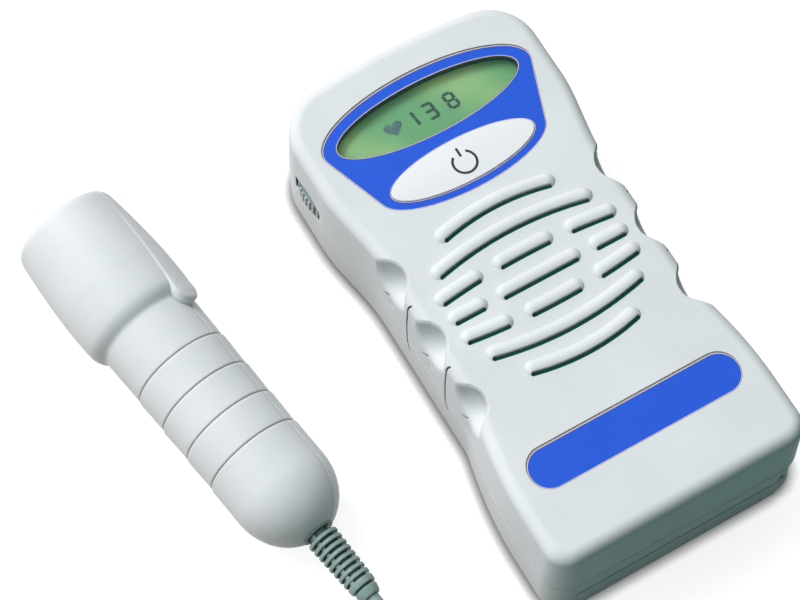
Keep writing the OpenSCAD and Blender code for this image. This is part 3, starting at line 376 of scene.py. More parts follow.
class Look(Enum):
    """The finishes of this object."""

    # ABS out of a spark-eroded mould: dull, pale, faintly mottled, with painted shade in its grooves and
    # corners
    CASE = Moulded("abs_spark_eroded", "#E7EBEE", 0.46, 1.52, shade="#E0E4E7", grit=0.8, relief=0.02,
                    gloss=0.05)
    # The probe's ABS is a little smoother, with painted beige shade in its grooves and seams
    PROBE = Moulded("abs_fine_matt", "#E8EBEE", 0.42, 1.52, shade="#E0E4E7", grit=0.7, relief=0.012,
                    crevice_shade_colour="#A89C92", gloss=0.14)
    # Polished ABS cap of the button, whiter than the case, with painted shade in its corners
    BUTTON = Moulded("abs_polished_white", "#F2F5F7", 0.3, 1.52, shade="#ECF0F3", grit=1.2, relief=0.004,
                     soften=0.2)
    # Ribbed thumb wheel, with painted dark-green shade in its notches
    WHEEL = Moulded("abs_ribbed_wheel", "#C4CBCE", 0.42, 1.52, shade="#BCC4C7", grit=0.7, relief=0.01,
                    soften=0.12, crevice_shade_colour="#04504A", reach=2.4)
    # Blue ink behind a satin polycarbonate film
    FILM = PrintedFilm("polycarbonate_film_blue", "#2C61E2", 0.42, 1.58, dark="#2A5DDD")
    # Unprinted margin at the film's cut edge
    MARGIN = Grained("polycarbonate_cut_edge", "#E3CFC4", 0.4, 1.58,
                     second="#D9C2B6", grain=1.5, relief=0.004)
    # Clear acrylic, polished
    WINDOW = Clear("acrylic_clear", "#FFFFFF", 0.06, 1.49)
    # Green reflective cell, with a painted pale reflection and painted light given off by it
    CELL = LiquidCrystal("liquid_crystal_green", "#6BA87A", 0.34, 1.5, painted_reflection="#9DC08A")
    # Switched segments of the cell
    SEGMENT = Grained("liquid_crystal_segment", "#074A4E", 0.4, 1.5,
                      second="#053F43", grain=0.9, relief=0.002)
    # The heart's segment, printed greyer
    HEART = Grained("liquid_crystal_heart", "#5C7F8C", 0.4, 1.5, second="#3D6470", grain=3.5, relief=0.002)
    # Screen-printed black ink
    INK = Grained("screen_ink_black", "#040506", 0.55, 1.5, second="#08090A", grain=0.8, relief=0.004)
    # Painted shade: a dark green lining round the window, on the opening's wall that lies in shade
    SHADE_LINING = Grained("painted_shade_lining", "#07413F", 0.6, 1.43, second="#053634", grain=1.5, relief=0.01)
    # Dust cloth behind the louvres: real cloth, coloured light teal as painted shade for the slits it is
    # raised into
    CLOTH = Woven("dust_cloth_and_slit_shade", "#0C8C7C", 0.85, 1.45, thread=0.5, gap="#0A7266")
    # Flexible PVC of relief, cord and plug, with painted dark-green shade between the relief's ribs
    VINYL = Grained("pvc_flexible_grey", "#93AAA6", 0.5, 1.53, second="#83A09B", grain=1.4, relief=0.02,
                    crevice_shade_colour="#04413B")
    # Black PVC of the cord's tie
    VINYL_DARK = Grained("pvc_tie_black", "#1E2224", 0.55, 1.53, second="#15181A", grain=1.2, relief=0.02)
    # Nickel-plated steel, drawn or turned
    NICKEL = Grained("nickel_plated_steel", "#C3C1BA", 0.28, 1.5, 1.0, second="#AEACA6", grain=0.5,
                     relief=0.006, stretch=(1.0, 1.0, 8.0))
    # Bare galvanised steel of the loudspeaker's frame
    GALVANISED = Grained("galvanised_steel", "#A9ADB0", 0.42, 1.5, 1.0,
                         second="#8F9497", grain=2.5, relief=0.01)
    # Glass-epoxy boards under green solder mask
    BOARD = Grained("solder_mask_green", "#1E6B3C", 0.35, 1.55, second="#17562F", grain=2.0, relief=0.02)
    # Black moulded packages, with a fine dull grain
    EPOXY = Grained("epoxy_moulding_black", "#1A1C1E", 0.55, 1.55, second="#24272A", grain=0.6, relief=0.02)
    # Dark pressed-paper cone, fibrous and dull
    PAPER = Grained("pressed_paper_dark", "#2B3133", 0.8, 1.45, second="#1E2325", grain=1.1, relief=0.05)
    # Crystals with a fired silver face
    CERAMIC = Grained("silvered_ceramic", "#C9B98C", 0.35, 1.6, second="#B8A573", grain=1.8, relief=0.01)
    # Shrink sleeve of the cells, with a soft sheen
    SLEEVE = Grained("shrink_sleeve_grey", "#4A4F54", 0.32, 1.5, second="#3E4348", grain=6.0, relief=0.01)
    # Rubber strips between cell and board, quite dull
    ELASTOMER = Grained("conductive_elastomer", "#3A3F41", 0.7, 1.45,
                        second="#2E3234", grain=0.5, relief=0.02)
    # Milky rubber lens on the probe's face
    SILICONE = Grained("silicone_lens", "#C9CDCA", 0.33, 1.41, second="#BEC3C0", grain=7.0, relief=0.01)


# ----------------------------------------------------------------------- meshes


def new_piece(name: str, points: Sequence, faces: Sequence, look: Look | None = None,
              crease: float = 30.0) -> Piece:
    """Makes a mesh object from points in millimetres.

    Args:
        name: Object name.
        points: Vertices, in millimetres.
        faces: Vertex indices of each face.
        look: Finish, if it is shown.
        crease: Angle in degrees above which an edge stays sharp.

    Returns:
        The linked object.
    """
    mesh = bpy.data.meshes.new(name)
    mesh.from_pydata([tuple(p) for p in points], [], [tuple(f) for f in faces])
    piece = bpy.data.objects.new(name, mesh)
    bpy.context.scene.collection.objects.link(piece)
    smooth(piece, crease)
    if look:
        mesh.materials.append(look.value.build())
    return piece


def smooth(piece: Piece, crease: float) -> None:
    """Shades a mesh smooth, with edges above the crease angle kept sharp."""
    piece.data.polygons.foreach_set("use_smooth", [True] * len(piece.data.polygons))
    piece.data.set_sharp_from_angle(angle=math.radians(crease))


def join(name: str, pieces: Sequence[Piece]) -> Piece:
    """Joins meshes into one object.

    Args:
        name: Name of the result.
        pieces: Objects to join; they are removed.

    Returns:
        The joined object.
    """
    points: list = []
    faces: list = []
    for piece in pieces:
        base = len(points)
        points += [tuple(v.co) for v in piece.data.vertices]
        faces += [[base + i for i in p.vertices] for p in piece.data.polygons]
        bpy.data.objects.remove(piece)
    return new_piece(name, points, faces)


class Cut(Enum):
    """What a boolean does with its tool."""

    TAKE = "DIFFERENCE"
    ADD = "UNION"


def combine(target: Piece, tools: Sequence[Piece], cut: Cut) -> Piece:
    """Applies a boolean of joined, separate tools to a target.

    Args:
        target: Object that changes.
        tools: Closed solids that don't touch one another; they are removed.
        cut: What to do with them.

    Returns:
        The target.
    """
    tool = join("tool", tools)
    modifier = target.modifiers.new("cut", "BOOLEAN")
    modifier.operation = cut.value
    modifier.solver = "EXACT"
    modifier.object = tool
    bpy.context.view_layer.update()
    result = bpy.data.meshes.new_from_object(target.evaluated_get(bpy.context.evaluated_depsgraph_get()))
    target.modifiers.clear()
    old = target.data
    target.data = result
    bpy.data.meshes.remove(old)
    bpy.data.objects.remove(tool)
    return target


def tube_faces(rings: int, sides: int, start: int = 0) -> Faces:
    """Returns the faces between stacked rings of points, from a first index on."""
    faces = []
    for a in range(start, start + (rings - 1) * sides, sides):
        b = a + sides
        faces += [[a + i, a + (i + 1) % sides, b + (i + 1) % sides, b + i] for i in range(sides)]
    return faces


def globe_faces(rings: int, sides: int) -> Faces:
    """Returns the faces of a ball: a pole, one ring of points less than it has bands, and a pole."""
    last, top = 1 + (rings - 2) * sides, 1 + (rings - 1) * sides
    ends = [[0, 1 + (i + 1) % sides, 1 + i] for i in range(sides)]
    ends += [[last + i, last + (i + 1) % sides, top] for i in range(sides)]
    return ends + tube_faces(rings - 1, sides, 1)


def loft(name: str, rings: Sequence[Sequence[Point]]) -> Piece:
    """Makes a closed solid through rings of points that run counter-clockwise and rise."""
    n, last = len(rings[0]), (len(rings) - 1) * len(rings[0])
    caps = [list(range(n - 1, -1, -1)), list(range(last, last + n))]
    return new_piece(name, [p for ring in rings for p in ring], caps + tube_faces(len(rings), n))


def prism(points: Sequence[Flat], low: float, high: float) -> Piece:
    """Returns a straight prism on a counter-clockwise outline between two heights."""
    return loft("prism", [[(x, y, z) for x, y in points] for z in (low, high)])


def arc_points(centre: Flat, radius: float, start: float, stop: float, steps: int) -> list[Flat]:
    """Returns points along an arc between two angles in degrees."""
    turn = [math.radians(start + (stop - start) * i / steps) for i in range(steps + 1)]
    return [(centre[0] + radius * math.cos(a), centre[1] + radius * math.sin(a)) for a in turn]


def oval_points(half_x: float, half_y: float, centre: Flat = (0.0, 0.0), sides: int = 120) -> list[Flat]:
    """Returns points round an ellipse, counter-clockwise."""
    turn = [2 * math.pi * i / sides for i in range(sides)]
    return [(centre[0] + half_x * math.cos(a), centre[1] + half_y * math.sin(a)) for a in turn]


# Turns each ball a little, so that its points don't line up with a boolean's other mesh
BALL_TWIST = 0.37


def ball(centre: Point, radius: float, squash: Point = (1.0, 1.0, 1.0), rings: int = 36) -> Piece:
    """Returns a sphere, or a squashed one, as a closed mesh."""
    sides = rings * 2
    lift = [-math.pi / 2 + math.pi * i / rings for i in range(1, rings)]
    turn = [2 * math.pi * (k + BALL_TWIST) / sides for k in range(sides)]
    unit = [(0.0, 0.0, -1.0)]
    unit += [(math.cos(a) * math.cos(b), math.cos(a) * math.sin(b), math.sin(a)) for a in lift for b in turn]
    unit.append((0.0, 0.0, 1.0))
    points = [[c + q * radius * u for c, q, u in zip(centre, squash, p)] for p in unit]
    return new_piece("ball", points, globe_faces(rings, sides))


def drum(centre: Point, radius: float, height: float, axis: str = "Z", sides: int = 64) -> Piece:
    """Returns a cylinder that starts at a centre and runs up, or along Y."""
    piece = prism(oval_points(radius, radius, sides=sides), 0.0, height)
    turn = Matrix.Rotation(-math.pi / 2, 4, "X") if axis == "Y" else Matrix.Identity(4)
    piece.data.transform(Matrix.Translation(centre) @ turn)
    return piece


def brick(low: Point, high: Point) -> Piece:
    """Returns a box between two corners."""
    corners = [low[:2], (high[0], low[1]), high[:2], (low[0], high[1])]
    return prism(corners, low[2], high[2])


def panel(points: Sequence[Flat], low: float, high: float) -> Piece:
    """Returns a prism on an outline of y and z, between two places across."""
    piece = prism(points, low, high)
    piece.data.transform(Matrix(((0, 0, 1, 0), (1, 0, 0, 0), (0, 1, 0, 0), (0, 0, 0, 1))))
    return piece


def settle(piece: Piece, look: Look, crease: float = 30.0) -> Piece:
    """Gives a carved piece its finish, smooth shading and face-weighted normals."""
    piece.data.materials.clear()
    piece.data.materials.append(look.value.build())
    smooth(piece, crease)
    weighted = piece.modifiers.new("flats", "WEIGHTED_NORMAL")
    weighted.keep_sharp = True
    weighted.weight = 80
    return piece


def shown(piece: Piece, body: str, slot: str, *nodes: str) -> Piece:
    """Scales a mesh to metres, hangs it on its body and hides the nodes it stands for."""
    if piece.type == "MESH":
        piece.data.transform(Matrix.Scale(MM, 4))
    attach(piece, body)
    if nodes:
        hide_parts(*nodes)
    LOG.info("piece %s on %s: %d faces", piece.name, body, len(getattr(piece.data, "polygons", [])))
    return piece


# ------------------------------------------------------------------------- case


@dataclass
class CasePlan:
    """The outline of the case, seen from the front."""

    length: float = 152.0
    body_width: float = 77.2
    head_width: float = 75.6
    waist_width: float = 68.8
    tail_corner: float = 7.0
    head_corner: float = 15.0
    crown_radius: float = 200.0
    grille_y: float = -5.0
    height: float = 37.0
    parting: float = 16.7
    wall: float = 2.2
    front_round: float = 3.6
    back_round: float = 2.0
    draft: float = 0.4

    def half_width(self, y: float) -> float:
        """Returns half the case's width at a place along it."""
        head = ease((y - self.grille_y - 23) / 28)
        body = ease(max(0.0, (self.grille_y - 21 - y) / 32) ** 0.6)
        waist = self.waist_width / 2
        return waist + (self.head_width / 2 - waist) * head + (self.body_width / 2 - waist) * body

    def crown(self, x: float) -> float:
        """Returns the y of the display end at a place across it."""
        return self.length / 2 - self.crown_radius + math.sqrt(self.crown_radius**2 - x * x)

    def outline(self) -> list[Flat]:
        """Returns the outline's points, counter-clockwise from the middle of the battery end."""
        tail = -self.length / 2
        head_x = self.head_width / 2 - self.head_corner
        head_y = self.crown(head_x) - self.head_corner
        right: list[Flat] = [(0.0, tail), (self.body_width / 4, tail)]
        corner = (self.body_width / 2 - self.tail_corner, tail + self.tail_corner)
        right += arc_points(corner, self.tail_corner, -90, 0, 16)
        steps = 88
        side = [corner[1] + (head_y - corner[1]) * i / steps for i in range(1, steps)]
        right += [(self.half_width(y), y) for y in side]
        right += arc_points((head_x, head_y), self.head_corner, 0, 90, 20)
        right += [(x, self.crown(x)) for x in (head_x * (1 - i / 9) for i in range(1, 10))]
        return right + [(-x, y) for x, y in reversed(right[1:-1])]

    def ring(self, z: float, inset: float) -> list[Point]:
        """Returns the outline drawn in by an inset, at a height."""
        plan = self.outline()
        n = len(plan)
        out = []
        for i, (x, y) in enumerate(plan):
            ax, ay = plan[i - 1]
            bx, by = plan[(i + 1) % n]
            size = math.hypot(bx - ax, by - ay)
            out.append((x - inset * (by - ay) / size, y + inset * (bx - ax) / size, z))
        return out

    def skin(self, name: str, levels: Sequence[Flat]) -> Piece:
        """Makes a closed skin through rings at each height and inset."""
        return loft(name, [self.ring(z, inset) for z, inset in levels])


@dataclass
class Louvres:
    """The grille's slits, each under a hood that faces the battery end."""

    plan: CasePlan
    pitch: float = 7.95
    bow: float = 0.00033
    slit: float = 1.05
    radius: float = 2.62
    sink: float = 1.29
    ridge_off: float = 1.25
    cloth_depth: float = 0.75

    def spans(self, row: int) -> list[Flat]:
        """Returns the slit spans of a row, left to right."""
        if abs(row) > 1:
            half = 16.4 if abs(row) == 3 else 22.8
            return [(-half, half)]
        return [(-26, -13.8), (-7.6, 7.6), (13.8, 26)] if row else [(-26, -16.9), (-11.4, 11.4), (16.9, 26)]

    def at(self, row: int, x: float, off: float) -> Flat:
        """Returns a place beside a row's bowed line."""
        y = self.plan.grille_y + row * self.pitch * (1 - self.bow * x * x)
        slope = -2 * row * self.pitch * self.bow * x
        size = math.hypot(1, slope)
        return (x - slope / size * off, y + off / size)

    def hood(self, row: int, span: Flat) -> Piece:
        """Makes one hood: a half-sunk bar with ball ends."""
        half_end = math.sqrt(self.radius**2 - self.sink**2)
        middle = max(3, int((span[1] - span[0]) / 1.5))
        ends = [math.sin(math.radians(a)) for a in (78, 66, 54, 42, 30, 18, 8)]
        stations = [(span[0] - e * half_end + 1.1, e) for e in ends]
        stations += [(span[0] + 1.1 + (span[1] - span[0] - 2.2) * i / middle, 0.0) for i in range(middle + 1)]
        stations += [(span[1] + e * half_end - 1.1, e) for e in reversed(ends)]
        sides, rows = 16, []
        for x, shrink in stations:
            r2 = self.radius**2 - (shrink * half_end) ** 2
            half = math.sqrt(max(0.01, r2 - self.sink**2))
            ring = []
            for i in range(sides + 1):
                v = half * math.cos(math.pi * i / sides)
                px, py = self.at(row, x, self.ridge_off + self.slit / 2 + v)
                ring.append((px, py, self.plan.height - self.sink + math.sqrt(max(0.0, r2 - v * v))))
            for v in (-half, half):
                px, py = self.at(row, x, self.ridge_off + self.slit / 2 + v)
                ring.append((px, py, self.plan.height - 0.7))
            rows.append(ring)
        return loft("hood", rows)

    def strip(self, row: int, span: Flat, low: float, high: float, narrow: float = 0.0) -> Piece:
        """Makes the bowed strip of a slit between two heights."""
        half = self.slit / 2 - narrow
        links = max(3, int((span[1] - span[0]) / 1.5))
        start, stop = span[0] + half * 0.6, span[1] - half * 0.6
        xs = [start + (stop - start) * i / links for i in range(links + 1)]
        points = [self.at(row, span[0], half * 0.4), self.at(row, span[0], -half * 0.4)]
        points += [self.at(row, x, -half) for x in xs]
        points += [self.at(row, span[1], -half * 0.4), self.at(row, span[1], half * 0.4)]
        points += [self.at(row, x, half) for x in reversed(xs)]
        return prism(points, low, high)

    def every(self) -> list[tuple[int, Flat]]:
        """Returns each slit as its row and span."""
        return [(row, span) for row in range(-3, 4) for span in self.spans(row)]

    def cloth(self) -> Piece:
        """Makes the dust cloth raised up into the slits, where it is painted shade."""
        # Painted shade: the cloth sits just under the top, filling each slit with its teal
        top = self.plan.height - self.cloth_depth
        piece = join(
            "slit_cloth_painted_shade",
            [self.strip(r, s, self.plan.height - self.plan.wall + 0.1, top, 0.03) for r, s in self.every()],
        )
        piece.data.materials.append(Look.CLOTH.value.build())
        return shown(piece, "monitor", "cloth")


@dataclass
class Details:
    """Places on the case that both halves share."""

    plan: CasePlan
    scallop_radius: float = 4.4
    scallop_drop: float = 4.5
    scallop_pitch: float = 20.3
    rim: float = 2.2
    flare_end: float = 10.0
    lcd_y: float = 53.6
    lcd_half: Flat = (27.75, 8.1)
    button_y: float = 35.1
    button_half: Flat = (21.9, 6.6)
    band_y: float = -50.6
    band_half: float = 25.5
    band_radius: float = 5.8
    wheel: Point = (-25.7, 53.4, 19.8)
    socket_x: float = 16.0
    jack_x: float = -3.0

    def scallop_places(self) -> list[Flat]:
        """Returns the scallops' centres, seen from the front."""
        x, y = self.plan.waist_width / 2 + 0.9, self.plan.grille_y - 0.3
        return [(side * x, y + i * self.scallop_pitch) for side in (-1, 1) for i in (-1, 0, 1)]

    def scallop_balls(self, grow: float) -> list[Piece]:
        """Returns plain balls over the scallops, for the wall behind them."""
        radius = math.hypot(self.scallop_radius, self.scallop_drop) + grow
        return [ball((x, y, self.plan.height - self.scallop_drop), radius) for x, y in self.scallop_places()]

    def outside(self, p: Array) -> Array:
        """Returns how far points stand outside the case's side and front, in millimetres."""
        plan = self.plan
        ys = np.linspace(-plan.length / 2, plan.length / 2, 400)
        wide = np.interp(p[..., 1], ys, [plan.half_width(float(y)) for y in ys])
        shoulder = plan.height - plan.front_round
        lean = plan.draft * np.clip((p[..., 2] - plan.parting) / (shoulder - plan.parting), 0, 1)
        side = np.abs(p[..., 0]) - wide + lean + plan.front_round
        front = p[..., 2] - shoulder
        past = np.hypot(np.maximum(side, 0), np.maximum(front, 0))
        return np.minimum(np.maximum(side, front), 0) + past - plan.front_round

    def scallops(self) -> list[Piece]:
        """Returns the tools that cut the scallops, each a ball that flares out to a soft rim."""
        tools = []
        radius = math.hypot(self.scallop_radius, self.scallop_drop)
        reach = np.arange(0.4, self.flare_end, 0.02)
        rings, sides = 110, 200
        lift = np.radians(np.linspace(0, 180, rings + 1))[1:-1]
        round_ = 2 * math.pi * np.arange(sides) / sides
        for x, y in self.scallop_places():
            way = math.copysign(1.0, x)
            ball_centre = np.array([x, y, self.plan.height - self.scallop_drop])
            start = ball_centre + np.array([-3.6 * way, 0.0, 0.3])
            a, b = np.meshgrid(lift, round_, indexing="ij")
            rays = np.stack([np.cos(a) * way, np.sin(a) * np.cos(b) * way, np.sin(a) * np.sin(b)], axis=-1)
            rays = np.concatenate([[[way, 0, 0]], rays.reshape(-1, 3), [[-way, 0, 0]]])
            far = np.full(len(rays), self.flare_end)
            found = np.zeros(len(rays), bool)
            for r in reach:
                p = start + rays * r
                case = self.outside(p)
                dish = radius - np.linalg.norm(p - ball_centre, axis=1)
                blend = np.maximum(self.rim - np.abs(case - dish), 0) / self.rim
                solid = np.maximum(case, dish) + blend * blend * self.rim / 4 < 0.03
                far[solid & ~found] = r
                found |= solid
            points = start + rays * far[:, None]
            faces = [face[::-1] for face in globe_faces(rings, sides)]
            tools.append(new_piece("scallop", points.tolist(), faces))
        return tools

    def creases(self) -> list[Piece]:
        """Returns the fine cuts between the scallops, which bend towards the tail below."""
        tools = []
        half, wall = 0.27, self.plan.waist_width / 2
        bend = [(-0.9, 36.6), (0.0, 35.2), (0.05, 25.0), (-0.75, 15.5), (-2.1, 11.8)]
        for low, high in ((-wall - 2, -wall + 1.5), (wall - 1.5, wall + 2)):
            for top_y in (6.05, -13.7):
                line = [(top_y + y, z) for y, z in bend]
                edge = [(y - half, z) for y, z in line] + [(y + half, z) for y, z in reversed(line)]
                tools.append(panel(edge, low, high))
        return tools

    def nicks(self) -> list[Piece]:
        """Returns the small cuts below each scallop: a slanting ledge and a shallow dimple."""
        tools = []
        ledge, dimple = (1.7, 24.0, (1.1, 2.3, 0.55), -48), (-1.0, 22.2, (0.7, 1.7, 0.75), 16)
        for x, y in self.scallop_places():
            wall = math.copysign(self.plan.waist_width / 2 + 0.1, x)
            for off_y, z, half, tip in (ledge, dimple):
                nick = ball((0, 0, 0), 1.0, half, 20)
                turn = Matrix.Rotation(math.radians(tip), 4, "X")
                nick.data.transform(Matrix.Translation((wall, y + off_y, z)) @ turn)
                tools.append(nick)
        return tools

    def strap(self, grow: float = 0.0) -> Piece:
        """Returns the ball that cuts the strap recess."""
        plan = self.plan
        return ball((plan.body_width / 2 + 0.4, -plan.length / 2 - 0.6, plan.parting - 7), 8.6 + grow)

    def sockets(self) -> list[Piece]:
        """Returns the holes for the probe socket and the earphone jack."""
        y = self.plan.length / 2 - self.plan.wall - 2
        return [
            drum((self.socket_x, y, self.plan.parting), 5.85, 8, "Y"),
            drum((self.jack_x, y, self.plan.parting), 3.85, 8, "Y"),
        ]

    def overlay(self, grow: float) -> list[Flat]:
        """Returns the upper overlay's outline: display and button ovals under one skin."""
        upper = oval_points(31.85 + grow, 11.4 + grow, (0.0, self.lcd_y), 180)
        lower = oval_points(25.3 + grow, 8.9 + grow, (0.0, self.button_y), 180)
        return hull(upper + lower)

    def band(self, grow: float) -> list[Flat]:
        """Returns the lower overlay's outline, a bar with round ends."""
        radius = self.band_radius + grow
        right = arc_points((self.band_half, self.band_y), radius, -90, 90, 40)
        return right + arc_points((-self.band_half, self.band_y), radius, 90, 270, 40)

    def openings(self, grow: float, low: float, high: float) -> list[Piece]:
        """Returns the tools for the openings over the display and the button."""
        ovals = ((self.lcd_half, self.lcd_y), (self.button_half, self.button_y))
        return [prism(oval_points(x + grow, y + grow, (0, place)), low, high) for (x, y), place in ovals]


def hull(points: Sequence[Flat]) -> list[Flat]:
    """Returns the convex hull of points, counter-clockwise."""
    ordered = sorted(set(points))

    def chain(run: Sequence[Flat]) -> list[Flat]:
        """Returns one side of the hull."""
        out: list[Flat] = []
        for x, y in run:
            while len(out) > 1:
                (ax, ay), (bx, by) = out[-2:]
                if (bx - ax) * (y - ay) - (by - ay) * (x - ax) > 1e-9:
                    break
                out.pop()
            out.append((x, y))
        return out[:-1]

    return chain(ordered) + chain(ordered[::-1])


@dataclass
class FrontShell:
    """Front half of the case, with hoods, slits, scallops and openings."""

    plan: CasePlan
    details: Details
    louvres: Louvres
    bed: float = 0.35
    bed_slack: float = 0.35

    def bed_outline(self, outline: Sequence[Flat]) -> list[Flat]:
        """Returns a film's bed, a little longer than the film towards the display end."""
        return hull(list(outline) + [(x, y + self.bed_slack) for x, y in outline])

    def outer_levels(self) -> list[Flat]:
        """Returns the heights and insets of the outer skin."""
        p = self.plan
        levels: list[Flat] = [(p.parting + 0.04, 0.5), (p.parting + 0.2, 0.14), (p.parting + 0.5, 0.0)]
        wall = p.height - p.front_round - p.parting
        levels += [(p.parting + wall * i / 4, p.draft * i / 4) for i in (1, 2, 3)]
        for i in range(11):
            a = math.radians(9 * i)
            levels.append(
                (p.height - p.front_round * (1 - math.sin(a)), p.draft + p.front_round * (1 - math.cos(a)))
            )
        return levels

    def wheel_opening(self, shell: Piece) -> None:
        """Cuts a shallow thumb recess, and the round room for the wheel behind it."""
        x, y, z = self.details.wheel
        low = self.plan.parting - 1
        combine(shell, [ball((-97.2, y, z), 60, (1, 1, 0.5), 90)], Cut.TAKE)
        combine(shell, [drum((x, y, low), 13.5, z + 2.7 - low, sides=96)], Cut.TAKE)

    def build(self) -> Piece:
        """Carves the front shell and returns it."""
        p, d = self.plan, self.details
        top, slits = p.height - p.wall, self.louvres.every()
        shell = p.skin("front_shell", self.outer_levels())
        combine(shell, [self.louvres.hood(*slit) for slit in slits], Cut.ADD)
        combine(shell, [self.louvres.strip(*slit, top - 1, p.height + 4) for slit in slits], Cut.TAKE)
        room = [(p.parting - 1, p.wall), (top - 2, p.wall + p.draft), (top, p.wall + p.draft + 1.2)]
        hollow = p.skin("front_hollow", room)
        combine(hollow, d.scallop_balls(1.8) + [d.strap(1.6)], Cut.TAKE)
        combine(shell, [hollow], Cut.TAKE)
        combine(shell, d.scallops() + [d.strap()] + d.sockets(), Cut.TAKE)
        combine(shell, d.creases(), Cut.TAKE)
        combine(shell, d.nicks(), Cut.TAKE)
        self.wheel_opening(shell)
        combine(
            shell,
            d.openings(0.0, top - 1, p.height + 3)
            + [prism(self.bed_outline(d.band(0.1)), p.height - self.bed, p.height + 3)],
            Cut.TAKE,
        )
        combine(shell, [prism(self.bed_outline(d.overlay(0.1)), p.height - self.bed, p.height + 3)], Cut.TAKE)
        settle(shell, Look.CASE)
        return shown(shell, "monitor", "case", "top_case")


@dataclass
class BackShell:
    """Back half of the case, with the battery bay and the strap recess."""

    plan: CasePlan
    details: Details
    door_width: float = 62.0
    door_length: float = 35.0
    door_slack: float = 0.15
    door_thick: float = 2.45
    lip_height: float = 9.5
    tongue_reach: float = 1.8
    well_places: tuple[Flat, ...] = ((27.5, 70.2), (-27.5, 70.2), (29.5, -34.0), (-29.5, -34.0))

    def door_opening(self, shell: Piece) -> None:
        """Cuts the room for the door, for its lip on the tail wall and for its tongues."""
        tail, half = -self.plan.length / 2, self.door_width / 2
        edge, groove = half + self.door_slack, half + self.tongue_reach
        inner, lip = tail + self.door_length + self.door_slack, tail + self.plan.wall + self.door_slack
        combine(shell, [brick((-edge, tail - 1, -1), (edge, inner, self.door_thick))], Cut.TAKE)
        combine(shell, [brick((-edge, tail - 1, -1), (edge, lip, self.lip_height))], Cut.TAKE)
        combine(shell, [brick((-groove, tail - 1, 1.0), (groove, inner, self.door_thick))], Cut.TAKE)

    def build(self) -> Piece:
        """Carves the back shell, adds the strap post and returns the post."""
        p, d = self.plan, self.details
        levels: list[Flat] = []
        for i in range(9):
            a = math.radians(90 * i / 8)
            levels.append((p.back_round * (1 - math.cos(a)), p.draft / 2 + p.back_round * (1 - math.sin(a))))
        levels += [(p.parting / 2, p.draft / 4), (p.parting - 0.5, 0.0), (p.parting - 0.2, 0.14),
                   (p.parting - 0.04, 0.5)]
        shell = p.skin("back_shell", levels)
        room = [(p.wall, p.wall + 1), (p.wall + 1, p.wall + p.draft / 2), (p.parting + 1, p.wall)]
        hollow = p.skin("back_hollow", room)
        combine(hollow, [d.strap(1.6)], Cut.TAKE)
        combine(hollow, [brick((-30.05, -74.1, 0.5), (30.05, -39.6, 19.0))], Cut.TAKE)
        combine(shell, [hollow], Cut.TAKE)
        combine(shell, [brick((-28.55, -72.4, -1), (28.55, -41.1, 15.6))], Cut.TAKE)
        self.door_opening(shell)
        wells = [drum((x, y, -1), 2.8, 7, sides=40) for x, y in self.well_places]
        combine(shell, d.creases() + [d.strap()] + d.sockets() + wells, Cut.TAKE)
        settle(shell, Look.CASE)
        shown(shell, "monitor", "case", "bottom_case")
        post = drum((p.body_width / 2 - 3.6, 3.6 - p.length / 2, 2.0), 1.5, p.parting - 2.6, sides=40)
        post.name = "strap_post"
        settle(post, Look.CASE)
        return shown(post, "monitor", "case")


# -------------------------------------------------------------- front face items


